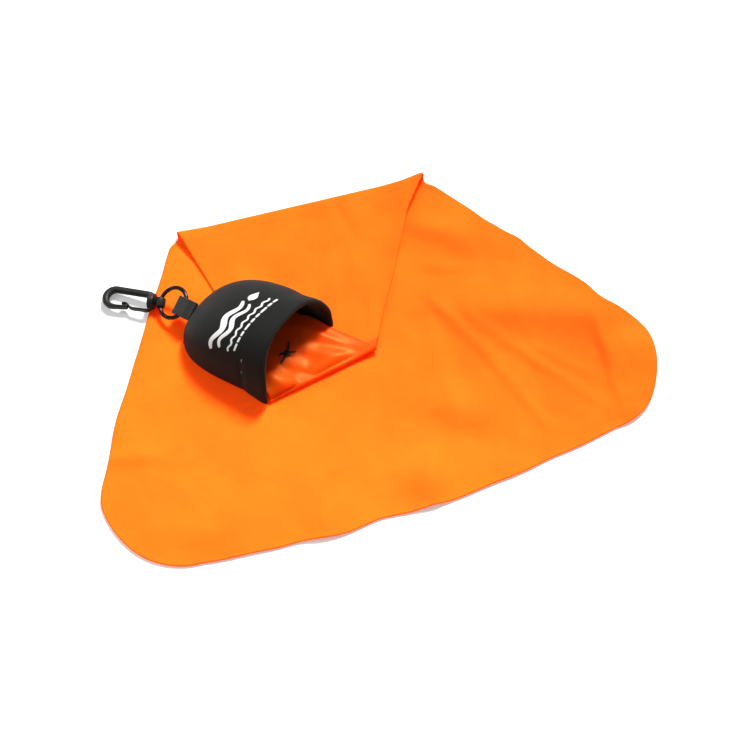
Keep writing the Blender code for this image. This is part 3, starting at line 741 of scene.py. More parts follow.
def sheet_from_rows(name, rows, mat, flat_y, mirror=1.0):
    """A closed thin body from rows of the middle surface. flat_y is each row's place along the flat cloth."""
    P = np.array([r[0] for r in rows])
    D = np.array([r[2] for r in rows])
    N = grid_normals(P)
    h = hem_profile(D)
    top, low = P + N * h[..., None], P - N * h[..., None]
    R, C = D.shape
    verts, uv, uv2 = [], [], []
    flat_x = np.array([r[0][:, 0] for r in rows])
    def put(grid, i, j):
        verts.append(grid[i, j])
        uv.append((flat_x[i, j] / 100.0, flat_y[i] / 100.0))
        uv2.append((flat_y[i] / 100.0, D[i, j] / 100.0))
        return len(verts) - 1
    up = [[put(top, i, j) for j in range(C)] for i in range(R)]
    dn = [[up[i][j] if j in (0, C - 1) else put(low, i, j) for j in range(C)] for i in range(R)]
    faces = []
    for i in range(R - 1):
        for j in range(C - 1):
            faces.append((up[i][j], up[i][j + 1], up[i + 1][j + 1], up[i + 1][j]))
            q = (dn[i][j], dn[i + 1][j], dn[i + 1][j + 1], dn[i][j + 1])
            faces.append(q)
    for i in (0, R - 1):
        for j in range(C - 1):
            q = [up[i][j], dn[i][j], dn[i][j + 1], up[i][j + 1]]
            q = list(dict.fromkeys(q))
            if len(q) > 2:
                faces.append(tuple(q if i == 0 else q[::-1]))
    ob = outward(new_object(name, verts, faces, mat, uv, uv2))
    crisp_ends(ob, up, dn)
    return ob


def crisp_ends(ob, up, dn):
    """The cut ends are flat faces: their edges stay sharp, so that the cloth's own shading runs on."""
    ends = set()
    for i in (0, len(up) - 1):
        for grid in (up, dn):
            for a, b in zip(grid[i], grid[i][1:]):
                ends.add((min(a, b), max(a, b)))
    for e in ob.data.edges:
        a, b = e.vertices
        if (min(a, b), max(a, b)) in ends:
            e.use_edge_sharp = True


# ---------------------------------------------------------------- cloth: the rows
def base_side(k, y):
    """The lower layer's side line near the top fold."""
    half = len(EDGE) // 2
    part = EDGE[:half] if k == 0 else EDGE[half:]
    order = np.argsort(part[:, 1])
    return np.interp(y, part[order, 1], part[order, 0])


def fold_target(k):
    return bow_side(k, np.array(0.0))[0]


SEAM_Y = FOLD_Y - SEAM_BACK


def base_rows():
    """Strip rows on the lower layer, from the seam up to the roll."""
    out, flat = [], []
    for i in range(9):
        y = SEAM_Y + (FOLD_Y - 1.2 - SEAM_Y) * i / 8
        f = smooth(np.array(i / 8.0))
        a = np.array([base_side(0, y) * (1 - f) + fold_target(0) * f, y])
        b = np.array([base_side(1, y) * (1 - f) + fold_target(1) * f, y])
        keep = 1 - f
        out.append(
            cloth_row(a, b, lambda s, xy, k=keep: BASE_Z + (base_height(xy[:, 0], xy[:, 1]) - BASE_Z) * k)
        )
        flat.append(y)
    return out, flat


def top_arc():
    out, flat = [], []
    a = np.array([fold_target(0), FOLD_Y - 1.2])
    b = np.array([fold_target(1), FOLD_Y - 1.2])
    base = cloth_row(a, b, lambda s, xy: BASE_Z + 0 * s)
    P, s, D = base
    r = roll_top(s)
    for i in range(1, 17):
        al = -math.pi / 2 + math.pi * i / 17
        Q = P.copy()
        Q[:, 1] = FOLD_Y - 1.2 + 1.2 * math.cos(al)
        Q[:, 2] = BASE_Z + r * (1 + math.sin(al))
        out.append((Q, s, D))
        flat.append(FOLD_Y - 1.2 + (al + math.pi / 2) * 1.3)
    return out, flat


def flap_row(t):
    t = float(t)
    a, b = bow_side(0, np.array(t)), bow_side(1, np.array(t))
    length = FOLD_Y - (FLAP_LOW_LEFT[1] + FLAP_LOW_RIGHT[1]) / 2
    return cloth_row(a, b, lambda s, xy: flap_height(s, t, FOLD_Y - xy[:, 1]))


FLAP_T0 = SEAM_BACK / 91.0
FLAP_T1 = 1 - SEAM_BACK / 91.0


def flap_rows(t0, t1, n):
    ts = np.linspace(t0, t1, n)
    return [flap_row(t) for t in ts], [FOLD_Y + 1.5 + 91.0 * t for t in ts]


LOW_ALONG = unit(FLAP_LOW_RIGHT - FLAP_LOW_LEFT)
LOW_OUT = np.array([LOW_ALONG[1], -LOW_ALONG[0]])


def pouch_point(u, v):
    c, s = math.cos(POUCH_ANGLE), math.sin(POUCH_ANGLE)
    return np.array([POUCH_O[0] + u * c + v * s, POUCH_O[1] + u * s - v * c])


def neck_sides(t):
    """Left and right side of the neck: it stays as wide as the mouth, then narrows inside the pouch."""
    ends = []
    for start, wide, steep in ((FLAP_LOW_LEFT, -20.6, 6.5), (FLAP_LOW_RIGHT, 20.9, 1.0)):
        u = -25.2 + (NECK_END_U + 25.2) * t if steep == 1.0 else 3.0 + (NECK_END_U - 3.0) * t
        narrow = float(smooth((u - 4.0) / (NECK_END_U - 4.0)))
        v = wide + (math.copysign(NECK_END_HALF, wide) - wide) * narrow
        k = 1 - (1 - t) ** (6.5 if steep != 1.0 else 9.0)
        e = pouch_point(u, v)
        if steep == 1.0:
            a = pouch_point(u, 21.7)
            ends.append(a + (e - a) * float(smooth(t / 0.4)))
        else:
            ends.append(start + (e - start) * k)
    return ends


def low_edge_height(s):
    return flap_height(s, 1.0, np.full_like(s, 91.0))


def neck_height(s, t):
    left, right = 3.0 + (NECK_END_U - 3.0) * t, -25.2 + (NECK_END_U + 25.2) * t
    u = left + (right - left) * s
    start = low_edge_height(s) + 2 * roll_low(s)
    rise = smooth((u + 3.0) / 11.0) * smooth(np.array(t / 0.15))
    z = start * (1 - rise) + 5.75 * rise
    w = smooth(np.array(t / 0.10)) * (0.6 + 0.4 * math.cos(3.0 * t))
    wave = 1.15 * np.sin(2 * math.pi * (1.75 * s - 0.55 * t) + 0.4) + 0.5 * np.sin(2 * math.pi * (3.9 * s + 1.6 * t) + 1.9)
    wave = wave + 1.1 * np.exp(-(((s - 0.62 + 0.5 * t) / 0.10) ** 2)) - 0.5 * np.exp(-(((s - 0.36 + 0.2 * t) / 0.07) ** 2))
    wave = wave + 0.8 * np.exp(-(((s - 0.16 + 0.15 * t) / 0.05) ** 2))
    calm = smooth(s / 0.10) * smooth((1 - s) / 0.16)
    return z + w * np.maximum(wave + 0.9, -0.1) * calm * (1 - 0.35 * rise)


def neck_row(t):
    a, b = neck_sides(t)
    return cloth_row(a, b, lambda s, xy: neck_height(s, t))


def low_arc():
    base = cloth_row(FLAP_LOW_LEFT - LOW_OUT * 1.1, FLAP_LOW_RIGHT - LOW_OUT * 1.1, lambda s, xy: low_edge_height(s))
    P, s, D = base
    r = roll_low(s)
    out, flat = [], []
    for i in range(0, 18):
        al = -math.pi / 2 + math.pi * i / 17
        Q = P.copy()
        Q[:, :2] = P[:, :2] + LOW_OUT * (1.1 * math.cos(al))
        Q[:, 2] = low_edge_height(s) + r * (1 + math.sin(al))
        out.append((Q, s, D))
        flat.append(FOLD_Y + 92.5 + (al + math.pi / 2) * 1.2)
    return out, flat


NECK_T1 = 0.16


def neck_rows(t0, t1, n):
    ts = np.linspace(t0, t1, n)
    return [neck_row(t) for t in ts], [FOLD_Y + 97.0 + 48.0 * t for t in ts]


# ---------------------------------------------------------------- cloth: the lower layer
def point_edge(points, line):
    """Distance to a polyline, and the place along it, for many points."""
    a, b = line[:-1], line[1:]
    d = b - a
    run = np.concatenate([[0], np.cumsum(np.linalg.norm(d, axis=1))])
    best = np.full(len(points), 1e9)
    place = np.zeros(len(points))
    ll = (d**2).sum(1)
    for lo in range(0, len(points), 4000):
        p = points[lo : lo + 4000]
        t = np.clip(((p[:, None] - a[None]) * d[None]).sum(2) / ll, 0, 1)
        q = a[None] + d[None] * t[..., None]
        dist = np.linalg.norm(p[:, None] - q, axis=2)
        i = dist.argmin(1)
        best[lo : lo + 4000] = dist[np.arange(len(p)), i]
        place[lo : lo + 4000] = run[i] + t[np.arange(len(p)), i] * np.sqrt(ll[i])
    return best, place


def inside(points, poly):
    x, y = points[:, 0], points[:, 1]
    hit = np.zeros(len(points), bool)
    for (x0, y0), (x1, y1) in zip(poly, np.roll(poly, -1, axis=0)):
        cross = (y0 > y) != (y1 > y)
        if cross.any():
            at = x0 + (y[cross] - y0) * (x1 - x0) / (y1 - y0)
            idx = np.where(cross)[0]
            hit[idx] ^= x[idx] < at
    return hit


def base_layer():
    seam = cloth_row(
        np.array([base_side(0, SEAM_Y), SEAM_Y]),
        np.array([base_side(1, SEAM_Y), SEAM_Y]),
        lambda s, xy: base_height(xy[:, 0], xy[:, 1]),
    )
    seam_xy, seam_d = seam[0][:, :2], seam[2]
    free = EDGE[EDGE[:, 1] < SEAM_Y - 0.35]
    loop = np.concatenate([free, seam_xy[::-1]])
    line = EDGE
    t = np.gradient(EDGE, axis=0)
    t /= np.linalg.norm(t, axis=1, keepdims=True)
    inward = np.stack([-t[:, 1], t[:, 0]], 1)
    rings = []
    for d in NEAR[1:]:
        r = EDGE + inward * d
        rings.append(r[r[:, 1] < SEAM_Y - 0.3])
    step = 1.7
    xs = np.arange(-132, 132, step)
    ys = np.arange(-84, SEAM_Y - 0.8, step * 0.866)
    gx, gy = np.meshgrid(xs, ys)
    gx = gx + (np.arange(len(ys)) % 2)[:, None] * step / 2
    field = np.stack([gx.ravel(), gy.ravel()], 1)
    field = field[inside(field, loop)]
    dist, _ = point_edge(field, line)
    field = field[dist > NEAR[-1] + 0.9]
    points = np.concatenate([loop] + rings + [field])
    n = len(loop)
    faces = [list(range(n))]
    out = delaunay_2d_cdt([Vector(p) for p in points], [], faces, 1, 1e-6)
    pts = np.array([tuple(v) for v in out[0]])
    tris = [tuple(f) for f in out[2]]
    dist, place = point_edge(pts, line)
    # the seam's own points keep the strip's distances
    on_seam = np.abs(pts[:, 1] - SEAM_Y) < 1e-4
    dist[on_seam] = np.interp(pts[on_seam, 0], seam_xy[:, 0], seam_d)
    on_edge = dist < 1e-3
    dist[on_edge] = 0.0
    lift = (HEM_HALF - CLOTH_HALF) * (1 - smooth((dist - HEM_WIDE) / 0.6))
    z = base_height(pts[:, 0], pts[:, 1]) + lift * smooth((SEAM_Y - pts[:, 1]) / 6.0)
    e = 0.4
    gxz = (base_height(pts[:, 0] + e, pts[:, 1]) - base_height(pts[:, 0] - e, pts[:, 1])) / (2 * e)
    gyz = (base_height(pts[:, 0], pts[:, 1] + e) - base_height(pts[:, 0], pts[:, 1] - e)) / (2 * e)
    N = np.stack([-gxz, -gyz, np.ones(len(pts))], 1)
    N /= np.linalg.norm(N, axis=1, keepdims=True)
    h = hem_profile(dist)
    P = np.concatenate([pts, z[:, None]], 1)
    top, low = P + N * h[:, None], P - N * h[:, None]
    verts = list(top)
    under = np.arange(len(pts))
    for i in np.where(~on_edge)[0]:
        under[i] = len(verts)
        verts.append(low[i])
    uv1 = pts / 100.0
    uv2 = np.stack([place / 100.0, dist / 100.0], 1)
    extra = np.where(~on_edge)[0]
    uv1 = np.concatenate([uv1, uv1[extra]])
    uv2 = np.concatenate([uv2, uv2[extra]])
    faces = [f for f in tris] + [tuple(under[i] for i in f[::-1]) for f in tris]
    order = np.where(on_seam)[0][np.argsort(pts[on_seam, 0])]
    for a, b in zip(order, order[1:]):
        q = list(dict.fromkeys([int(b), int(a), int(under[a]), int(under[b])]))
        faces.append(tuple(q))
    ob = outward(new_object("towel_base", verts, faces, ORANGE, uv1, uv2))
    up = [list(map(int, order))]
    dn = [[int(under[i]) for i in order]]
    crisp_ends(ob, up, dn)
    area = 0.0
    for f in tris:
        a, b, c = pts[list(f)]
        area += abs((b[0] - a[0]) * (c[1] - a[1]) - (b[1] - a[1]) * (c[0] - a[0])) / 2
    return ob, area / 1e6


base, base_area = base_layer()
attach(base, "towel")
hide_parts("towel_base_layer")

r1, y1 = base_rows()
r2, y2 = top_arc()
r3, y3 = flap_rows(1.2 / 91.0, FLAP_T0, 7)
top_rows = r1 + r2 + r3
top_strip = sheet_from_rows("towel_top_fold", top_rows, ORANGE, y1 + y2 + y3)

mid_rows, mid_y = flap_rows(FLAP_T0, FLAP_T1, 58)
middle = sheet_from_rows("towel_middle", mid_rows, ORANGE, mid_y)
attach(middle, "flap")
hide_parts("towel_middle_layer")

r4, y4 = flap_rows(FLAP_T1, 1 - 2.2 / 91.0, 5)
r5, y5 = low_arc()
r6, y6 = neck_rows(0.045, NECK_T1, 6)
low_rows = r4 + r5 + r6
low_strip = sheet_from_rows("towel_low_fold", low_rows, SATIN_AND_SHADE, y4 + y5 + y6)

neck_list, neck_y = neck_rows(NECK_T1, 1.0, 40)
neck = sheet_from_rows("towel_neck", neck_list, SATIN_AND_SHADE, neck_y)
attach(neck, "pouch")
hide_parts("towel_neck_layer")

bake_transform(top_strip)
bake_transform(low_strip)


# ---------------------------------------------------------------- pouch
def plan_half(u, inset):
    length, half = POUCH_LENGTH - inset, POUCH_HALF - inset
    k = min(1.0, max(0.0, u / length))
    return (half - POUCH_LEAN * k**3) * math.sqrt(max(0.0, 1 - k**6.5)) * (1 - 0.07 * (1 - k) ** 2)


def plan_middle(u):
    return -POUCH_LEAN * min(1.0, max(0.0, u / POUCH_LENGTH)) ** 3


def crown(u, inset):
    length = POUCH_LENGTH - inset
    k = min(1.0, max(0.0, u / length))
    c = POUCH_HEIGHT + (POUCH_HEIGHT_END - POUCH_HEIGHT) * k**1.6 + POUCH_CROWN * math.sin(math.pi * k)
    return (c - inset) * math.sqrt(max(0.0, 1 - k**8))


def dome(t, phi, inset):
    c, s = math.cos(phi), math.sin(phi)
    full = 0.84 - 0.12 * (phi / math.pi)
    cc = math.copysign(abs(c) ** full, c)
    ss = abs(s) ** full
    start = -MOUTH_SKEW * POUCH_HALF * cc + MOUTH_LEAN * ss**1.3
    start += 1.3 * math.exp(-((phi / 0.22) ** 2)) + 1.2 * math.exp(-(((math.pi - phi) / 0.2) ** 2))
    length = POUCH_LENGTH - inset
    u = start + (length - start) * t
    # a shallow pinch on the near side, where the tack pulls the foam in
    pinch = 0.75 * math.exp(-(((t - 0.235) / 0.026) ** 2)) * math.exp(-(((phi - 0.30) / 0.36) ** 2))
    swell = 0.35 * math.exp(-(((t - 0.17) / 0.05) ** 2)) * math.exp(-(((phi - 0.25) / 0.3) ** 2))
    # the foot turns out by the mouth, and the rim stands up a little behind its hem
    flare = 2.4 * math.exp(-((t / 0.16) ** 2)) * math.exp(-((phi / 0.55) ** 2))
    rim = 0.9 * math.exp(-((t / 0.07) ** 2)) - 0.45 * math.exp(-(((t - 0.17) / 0.07) ** 2))
    rim = rim * float(smooth((phi - 1.5) / 0.6)) * float(smooth((math.pi - phi) / 0.3))
    inset2 = pinch - swell - flare - rim
    v = plan_middle(u) - (plan_half(u, inset) - inset2) * cc
    p = pouch_point(u, v)
    return np.array([p[0], p[1], POUCH_Z + (crown(u, inset) - 0.4 * inset2) * ss])


def along(i, n):
    return math.sin(math.pi / 2 * i / n) ** 0.9


def pouch_shell():
    R, C = ((62, 89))
    t = [along(i, R) for i in range(R)]
    phi = [math.pi * j / (C - 1) for j in range(C)]
    O = np.array([[dome(a, b, 0.0) for b in phi] for a in t])
    I = np.array([[dome(a, b, NEOPRENE) for b in phi] for a in t])
    verts, uv = [], []
    s_along = np.concatenate([[0], np.cumsum(np.linalg.norm(np.diff(O[:, C // 2], axis=0), axis=1))])

    def put(p, i, j):
        verts.append(p)
        r = np.concatenate([[0], np.cumsum(np.linalg.norm(np.diff(O[min(i, R - 1)], axis=0), axis=1))])
        uv.append(((r[j] - r[C // 2]) / 100.0, s_along[min(i, R - 1)] / 100.0))
        return len(verts) - 1

    arcs = [np.concatenate([[0], np.cumsum(np.linalg.norm(np.diff(O[i], axis=0), axis=1))]) for i in range(R)]

    def put_fast(p, i, j, extra=0.0):
        verts.append(p)
        uv.append(((arcs[i][j] - arcs[i][C // 2]) / 100.0, (s_along[i] - extra) / 100.0))
        return len(verts) - 1

    out = [[put_fast(O[i, j], i, j) for j in range(C)] for i in range(R)]
    inn = [[put_fast(I[i, j], i, j) for j in range(C)] for i in range(R)]
    tip_o = put_fast(np.array([*pouch_point(POUCH_LENGTH, -POUCH_LEAN), POUCH_Z]), R - 1, C // 2)
    tip_i = put_fast(np.array([*pouch_point(POUCH_LENGTH - NEOPRENE, -POUCH_LEAN), POUCH_Z]), R - 1, C // 2)
    faces = []
    for i in range(R - 1):
        for j in range(C - 1):
            faces.append((out[i][j], out[i + 1][j], out[i + 1][j + 1], out[i][j + 1]))
            faces.append((inn[i][j], inn[i][j + 1], inn[i + 1][j + 1], inn[i + 1][j]))
    for j in range(C - 1):
        faces.append((out[R - 1][j], tip_o, out[R - 1][j + 1]))
        faces.append((inn[R - 1][j], inn[R - 1][j + 1], tip_i))
    # the rounded rim, round the mouth and along both lower edges
    loop = [(i, 0) for i in range(R - 1, -1, -1)] + [(0, j) for j in range(1, C)] + [(i, C - 1) for i in range(1, R)]
    K = 7
    rim = []
    for n_, (i, j) in enumerate(loop):
        o, q = O[i, j], I[i, j]
        c = (o + q) / 2
        nrm = (o - q) / 2
        h = np.linalg.norm(nrm)
        T = np.zeros(3)
        if i == 0:
            T += -unit(O[1, j] - O[0, j])
        if j == 0:
            T += unit(O[i, 0] - O[i, 1]) if i < R - 1 else unit(O[i, 0] - O[i, 1])
        if j == C - 1:
            T += unit(O[i, C - 1] - O[i, C - 2])
        T = unit(T - nrm * (T @ nrm) / (h * h))
        reach = 1.18 if i > 0 or 0 < j < C - 1 else 1.25
        ids = []
        for k in range(1, K):
            a = math.pi / 2 - math.pi * k / K
            p = c + nrm * math.sin(a) + T * (reach * math.cos(a))
            ids.append(put_fast(p, i, j, 1.3 * math.cos(a) if i == 0 else 0.0))
        rim.append([out[i][j]] + ids + [inn[i][j]])
    for a, b in zip(rim, rim[1:]):
        for k in range(K):
            faces.append((a[k], a[k + 1], b[k + 1], b[k]))
    # close the rim at the closed end, round the two tips
    o, q = np.array(verts[tip_o]), np.array(verts[tip_i])
    c, nrm = (o + q) / 2, (o - q) / 2
    ids = []
    for k in range(1, K):
        a = math.pi / 2 - math.pi * k / K
        ids.append(put_fast(c + nrm * math.sin(a) + np.array([0, 0, -1.18]) * math.cos(a), R - 1, C // 2))
    tip = [tip_o] + ids + [tip_i]
    for k in range(K):
        faces.append((rim[-1][k], rim[-1][k + 1], tip[k + 1], tip[k]))
        faces.append((tip[k], tip[k + 1], rim[0][k + 1], rim[0][k]))
    ob = outward(new_object("pouch_shell", verts, faces, NEO, uv))
    return ob


shell = pouch_shell()
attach(shell, "pouch")
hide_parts("pouch_top_panel")


def plan_loop(inset, start, short, n=60):
    out = []
    for i in range(n + 1):
        k = along(abs(1 - abs(1 - 2 * i / n)) * n, n)
        c = math.cos(math.pi * i / n)
        u0 = -MOUTH_SKEW * POUCH_HALF * (1 if c >= 0 else -1) + start
        u = u0 + (POUCH_LENGTH - inset - short - u0) * k
        side = -1 if i < n / 2 else 1
        half = plan_half(u * (POUCH_LENGTH - inset) / (POUCH_LENGTH - inset - short), inset)
        out.append(pouch_point(u, plan_middle(u) + (half * side if i != n / 2 else 0.0)))
    return np.array(out)


def back_panel():
    """The flat panel under the towel's end, with rounded edges."""
    verts, faces, uv = [], [], []
    rings = []
    for inset, z in ((0.9, 0.0), (0.3, 0.25), (0.0, 0.9), (0.3, 1.55), (0.9, 1.8)):
        loop = plan_loop(NEOPRENE + 0.45 + inset, 9.0 + inset, 2.5)
        ids = []
        for x, y in loop:
            ids.append(len(verts))
            verts.append((x, y, POUCH_Z - 0.35 + z))
            uv.append((x / 100.0, y / 100.0))
        rings.append(ids)
    for a, b in zip(rings, rings[1:]):
        for i in range(len(a)):
            j = (i + 1) % len(a)
            faces.append((a[i], a[j], b[j], b[i]))
    for ids, turn in ((rings[0], -1), (rings[-1], 1)):
        faces.append(tuple(ids[::turn]))
    return outward(new_object("pouch_back", verts, faces, NEO, uv, sharp=45))


back = back_panel()
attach(back, "pouch")
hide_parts("pouch_back_panel")


def surface_frame(t, phi):
    e = 0.004
    p = dome(t, phi, 0.0)
    a = unit(dome(t + e, phi, 0.0) - dome(t - e, phi, 0.0))
    b = unit(dome(t, phi + e, 0.0) - dome(t, phi - e, 0.0))
    n = unit(np.cross(b, a))
    if n @ (p - np.array([*pouch_point(20, 0), POUCH_Z])) < 0:
        n = -n
    return p, a, b, n


def stitch(name, p, along_, normal, length, mat, r=0.2, sink=0.05):
    """One stitch: a short thread that dives into the cloth at both ends."""
    pts, rx = [], []
    for i in range(9):
        s = -1 + 2 * i / 8
        pts.append(p + along_ * (s * length / 2) + normal * (r * 0.9 * (1 - s * s) - sink))
        rx.append(r * (1 - 0.35 * s * s))
    return tube_mesh(name, pts, rx, rx, 8, tuple(normal), mat, cap=2)


def stitch_rows():
    obs = []
    # along the near and the far lower edge
    for phi in (0.115, math.pi - 0.115):
        t = 0.055
        while t < 0.93:
            p, a, b, n = surface_frame(t, phi)
            obs.append(stitch("stitch", p, a, n, 1.7, THREAD, 0.17))
            q = dome(min(t + 0.01, 0.99), phi, 0.0)
            t += 0.01 * 2.5 / max(np.linalg.norm(q - p), 1e-6)
    return join("pouch_stitching", obs)


stitching = stitch_rows()
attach(stitching, "pouch")
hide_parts("pouch_edge_seam")


def mouth_lining():
    """A jersey strip turned in behind the mouth."""
    R, C = 8, 61
    verts, faces, uv = [], [], []
    for k, inset in enumerate((NEOPRENE + 0.05, NEOPRENE + 0.75)):
        for i in range(R):
            for j in range(C):
                t = 0.02 + 0.12 * i / (R - 1)
                phi = math.pi * (0.06 + 0.88 * j / (C - 1))
                edge = min(i, R - 1 - i)
                soft = 0.3 * (1 - smooth(edge / 1.5)) * (1 if k else 0)
                verts.append(dome(t, phi, inset - soft))
                uv.append((j * 0.9 / 100.0, i / 100.0))
    n = R * C
    for i in range(R - 1):
        for j in range(C - 1):
            a = i * C + j
            faces.append((a, a + 1, a + C + 1, a + C))
            faces.append((n + a, n + a + C, n + a + C + 1, n + a + 1))
    ring = [j for j in range(C)] + [i * C + C - 1 for i in range(1, R)] + [(R - 1) * C + j for j in range(C - 2, -1, -1)] + [i * C for i in range(R - 2, 0, -1)]
    for a, b in zip(ring, ring[1:] + ring[:1]):
        faces.append((b, a, a + n, b + n))
    return outward(new_object("pouch_lining", verts, faces, NEO, uv, sharp=50))


lining = mouth_lining()
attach(lining, "pouch")
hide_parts("pouch_mouth_hem")

TACKS = ((0.215, 0.62), (0.225, 0.36))


def tack():
    obs = []
    for t, phi in TACKS:
        p, a, b, n = surface_frame(t, phi)
        obs.append(stitch("tack", p, b, n, 1.5, GREY_THREAD, 0.26, 0.0))
    for i in range(7):
        t, phi = 0.232, 0.10 + 0.085 * i
        p, a, b, n = surface_frame(t, phi)
        obs.append(stitch("tack", p, unit(b + 0.25 * a), n, 1.6, THREAD, 0.17))
    return join("pouch_tack", obs)


tacked = tack()
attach(tacked, "pouch")
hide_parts("pouch_bar_tack")

# ---- the print: a bold double wave with a drop, and two thin lines beside it
PRINT_T, PRINT_PHI = 0.50, 1.36


def dome_table():
    phis = np.linspace(0, math.pi, 181)
    ts = np.linspace(0.02, 0.98, 97)
    P = np.array([[dome(t, p, 0.0) for p in phis] for t in ts])
    across = np.concatenate([np.zeros((len(ts), 1)), np.cumsum(np.linalg.norm(np.diff(P, axis=1), axis=2), axis=1)], 1)
    k = int(np.argmin(abs(phis - PRINT_PHI)))
    downs = np.concatenate([[0], np.cumsum(np.linalg.norm(np.diff(P[:, k], axis=0), axis=1))])
    return phis, ts, across, downs, k


PHIS, TS, ACROSS, DOWNS, PK = dome_table()


def print_point(x, y, lift=0.1):
    """x runs across the arch from the near side to the far side, y from the mouth to the closed end."""
    d0 = np.interp(PRINT_T, TS, DOWNS)
    y = y - 0.17 * (x + 14.5)
    t = float(np.interp(d0 + y, DOWNS, TS))
    i = int(np.argmin(abs(TS - t)))
    s0 = float(np.interp(PRINT_PHI, PHIS, ACROSS[i]))
    phi = float(np.interp(s0 + x, ACROSS[i], PHIS))
    p, a, b, n = surface_frame(t, phi)
    return p + n * lift


def ribbon(points, widths, name="ink", lift=0.07, thick=0.09):
    """A flat stroke on the pouch along points (x, y) with rounded ends."""
    pts = np.array(points, float)
    w = np.full(len(pts), widths) if np.isscalar(widths) else np.asarray(widths, float)
    d = np.gradient(pts, axis=0)
    d /= np.linalg.norm(d, axis=1, keepdims=True)
    n = np.stack([-d[:, 1], d[:, 0]], 1)
    left, right = [], []
    K = 6
    for k in range(K):
        a = math.pi / 2 * (1 - k / K)
        c = pts[0] - d[0] * (w[0] / 2 * math.sin(a))
        left.append(c + n[0] * (w[0] / 2 * math.cos(a)))
        right.append(c - n[0] * (w[0] / 2 * math.cos(a)))
    for p, q, h in zip(pts, n, w):
        left.append(p + q * h / 2)
        right.append(p - q * h / 2)
    for k in range(1, K + 1):
        a = math.pi / 2 * k / K
        c = pts[-1] + d[-1] * (w[-1] / 2 * math.sin(a))
        left.append(c + n[-1] * (w[-1] / 2 * math.cos(a)))
        right.append(c - n[-1] * (w[-1] / 2 * math.cos(a)))
    cross = 5
    verts, uv, faces = [], [], []
    m = len(left)
    for level in (lift + thick, lift - 0.12):
        for a, b in zip(left, right):
            for k in range(cross):
                q = a + (b - a) * k / (cross - 1)
                edge = 0.03 if k in (0, cross - 1) and level > lift else 0.0
                verts.append(print_point(q[0], q[1], level - edge))
                uv.append((q[0] / 100.0, q[1] / 100.0))
    n0 = m * cross
    for i in range(m - 1):
        for k in range(cross - 1):
            a = i * cross + k
            faces.append((a, a + 1, a + cross + 1, a + cross))
            faces.append((n0 + a, n0 + a + cross, n0 + a + cross + 1, n0 + a + 1))
        for k in (0, cross - 1):
            a = i * cross + k
            faces.append((a, a + cross, n0 + a + cross, n0 + a))
    for k in range(cross - 1):
        for i in (0, m - 1):
            a = i * cross + k
            faces.append((a, n0 + a, n0 + a + 1, a + 1))
    return outward(new_object(name, verts, faces, PRINT, uv, sharp=60))


def wave_line(x0, x1, y, amount, periods, n=72, phase=0.0, slant=0.0):
    out = []
    for i in range(n + 1):
        f = i / n
        out.append((x0 + (x1 - x0) * f, y + slant * f + amount * math.sin(2 * math.pi * periods * f + phase)))
    return out


def emblem():
    obs = []
    a, b = -14.5, 9.5
    f = np.linspace(0, 1, 73)
    swell = 1.3 + 1.6 * np.sin(math.pi * f) ** 0.8
    obs.append(ribbon(wave_line(a, b, 2.3, 1.2, 2.0), swell))
    obs.append(ribbon(wave_line(a + 1.2, b - 0.6, -1.7, 1.2, 2.0), 0.75 * swell))
    # the drop, past the waves' far end
    drop = []
    for i in range(25):
        g = i / 24
        drop.append((11.4 + 5.6 * g, 0.4))
    g = np.linspace(0, 1, 25)
    width = 0.15 + 3.9 * np.sqrt(np.clip(1 - ((g - 0.34) / 0.36) ** 2, 0, 1)) * (g < 0.34) + 3.9 * (g >= 0.34) * (1 - smooth((g - 0.34) / 0.66)) ** 0.8
    width = np.where(g < 0.34, 0.15 + 3.75 * np.sqrt(np.clip(1 - ((0.34 - g) / 0.345) ** 2, 0, 1)), width)
    obs.append(ribbon(drop, width))
    # two thin rows beside them: a fine wave, and a row of short dashes
    obs.append(ribbon(wave_line(a + 0.5, b + 5.5, -6.4, 0.42, 7.0, 150), 0.85))
    x = a + 1.5
    i = 0
    while x < b + 5.0:
        long_ = 1.5 if i % 3 else 2.6
        obs.append(ribbon([(x + long_ * k / 4, -9.3) for k in range(5)], 0.95))
        x += long_ + 1.5
        i += 1
    return join("pouch_print", obs)


mark = emblem()
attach(mark, "pouch")


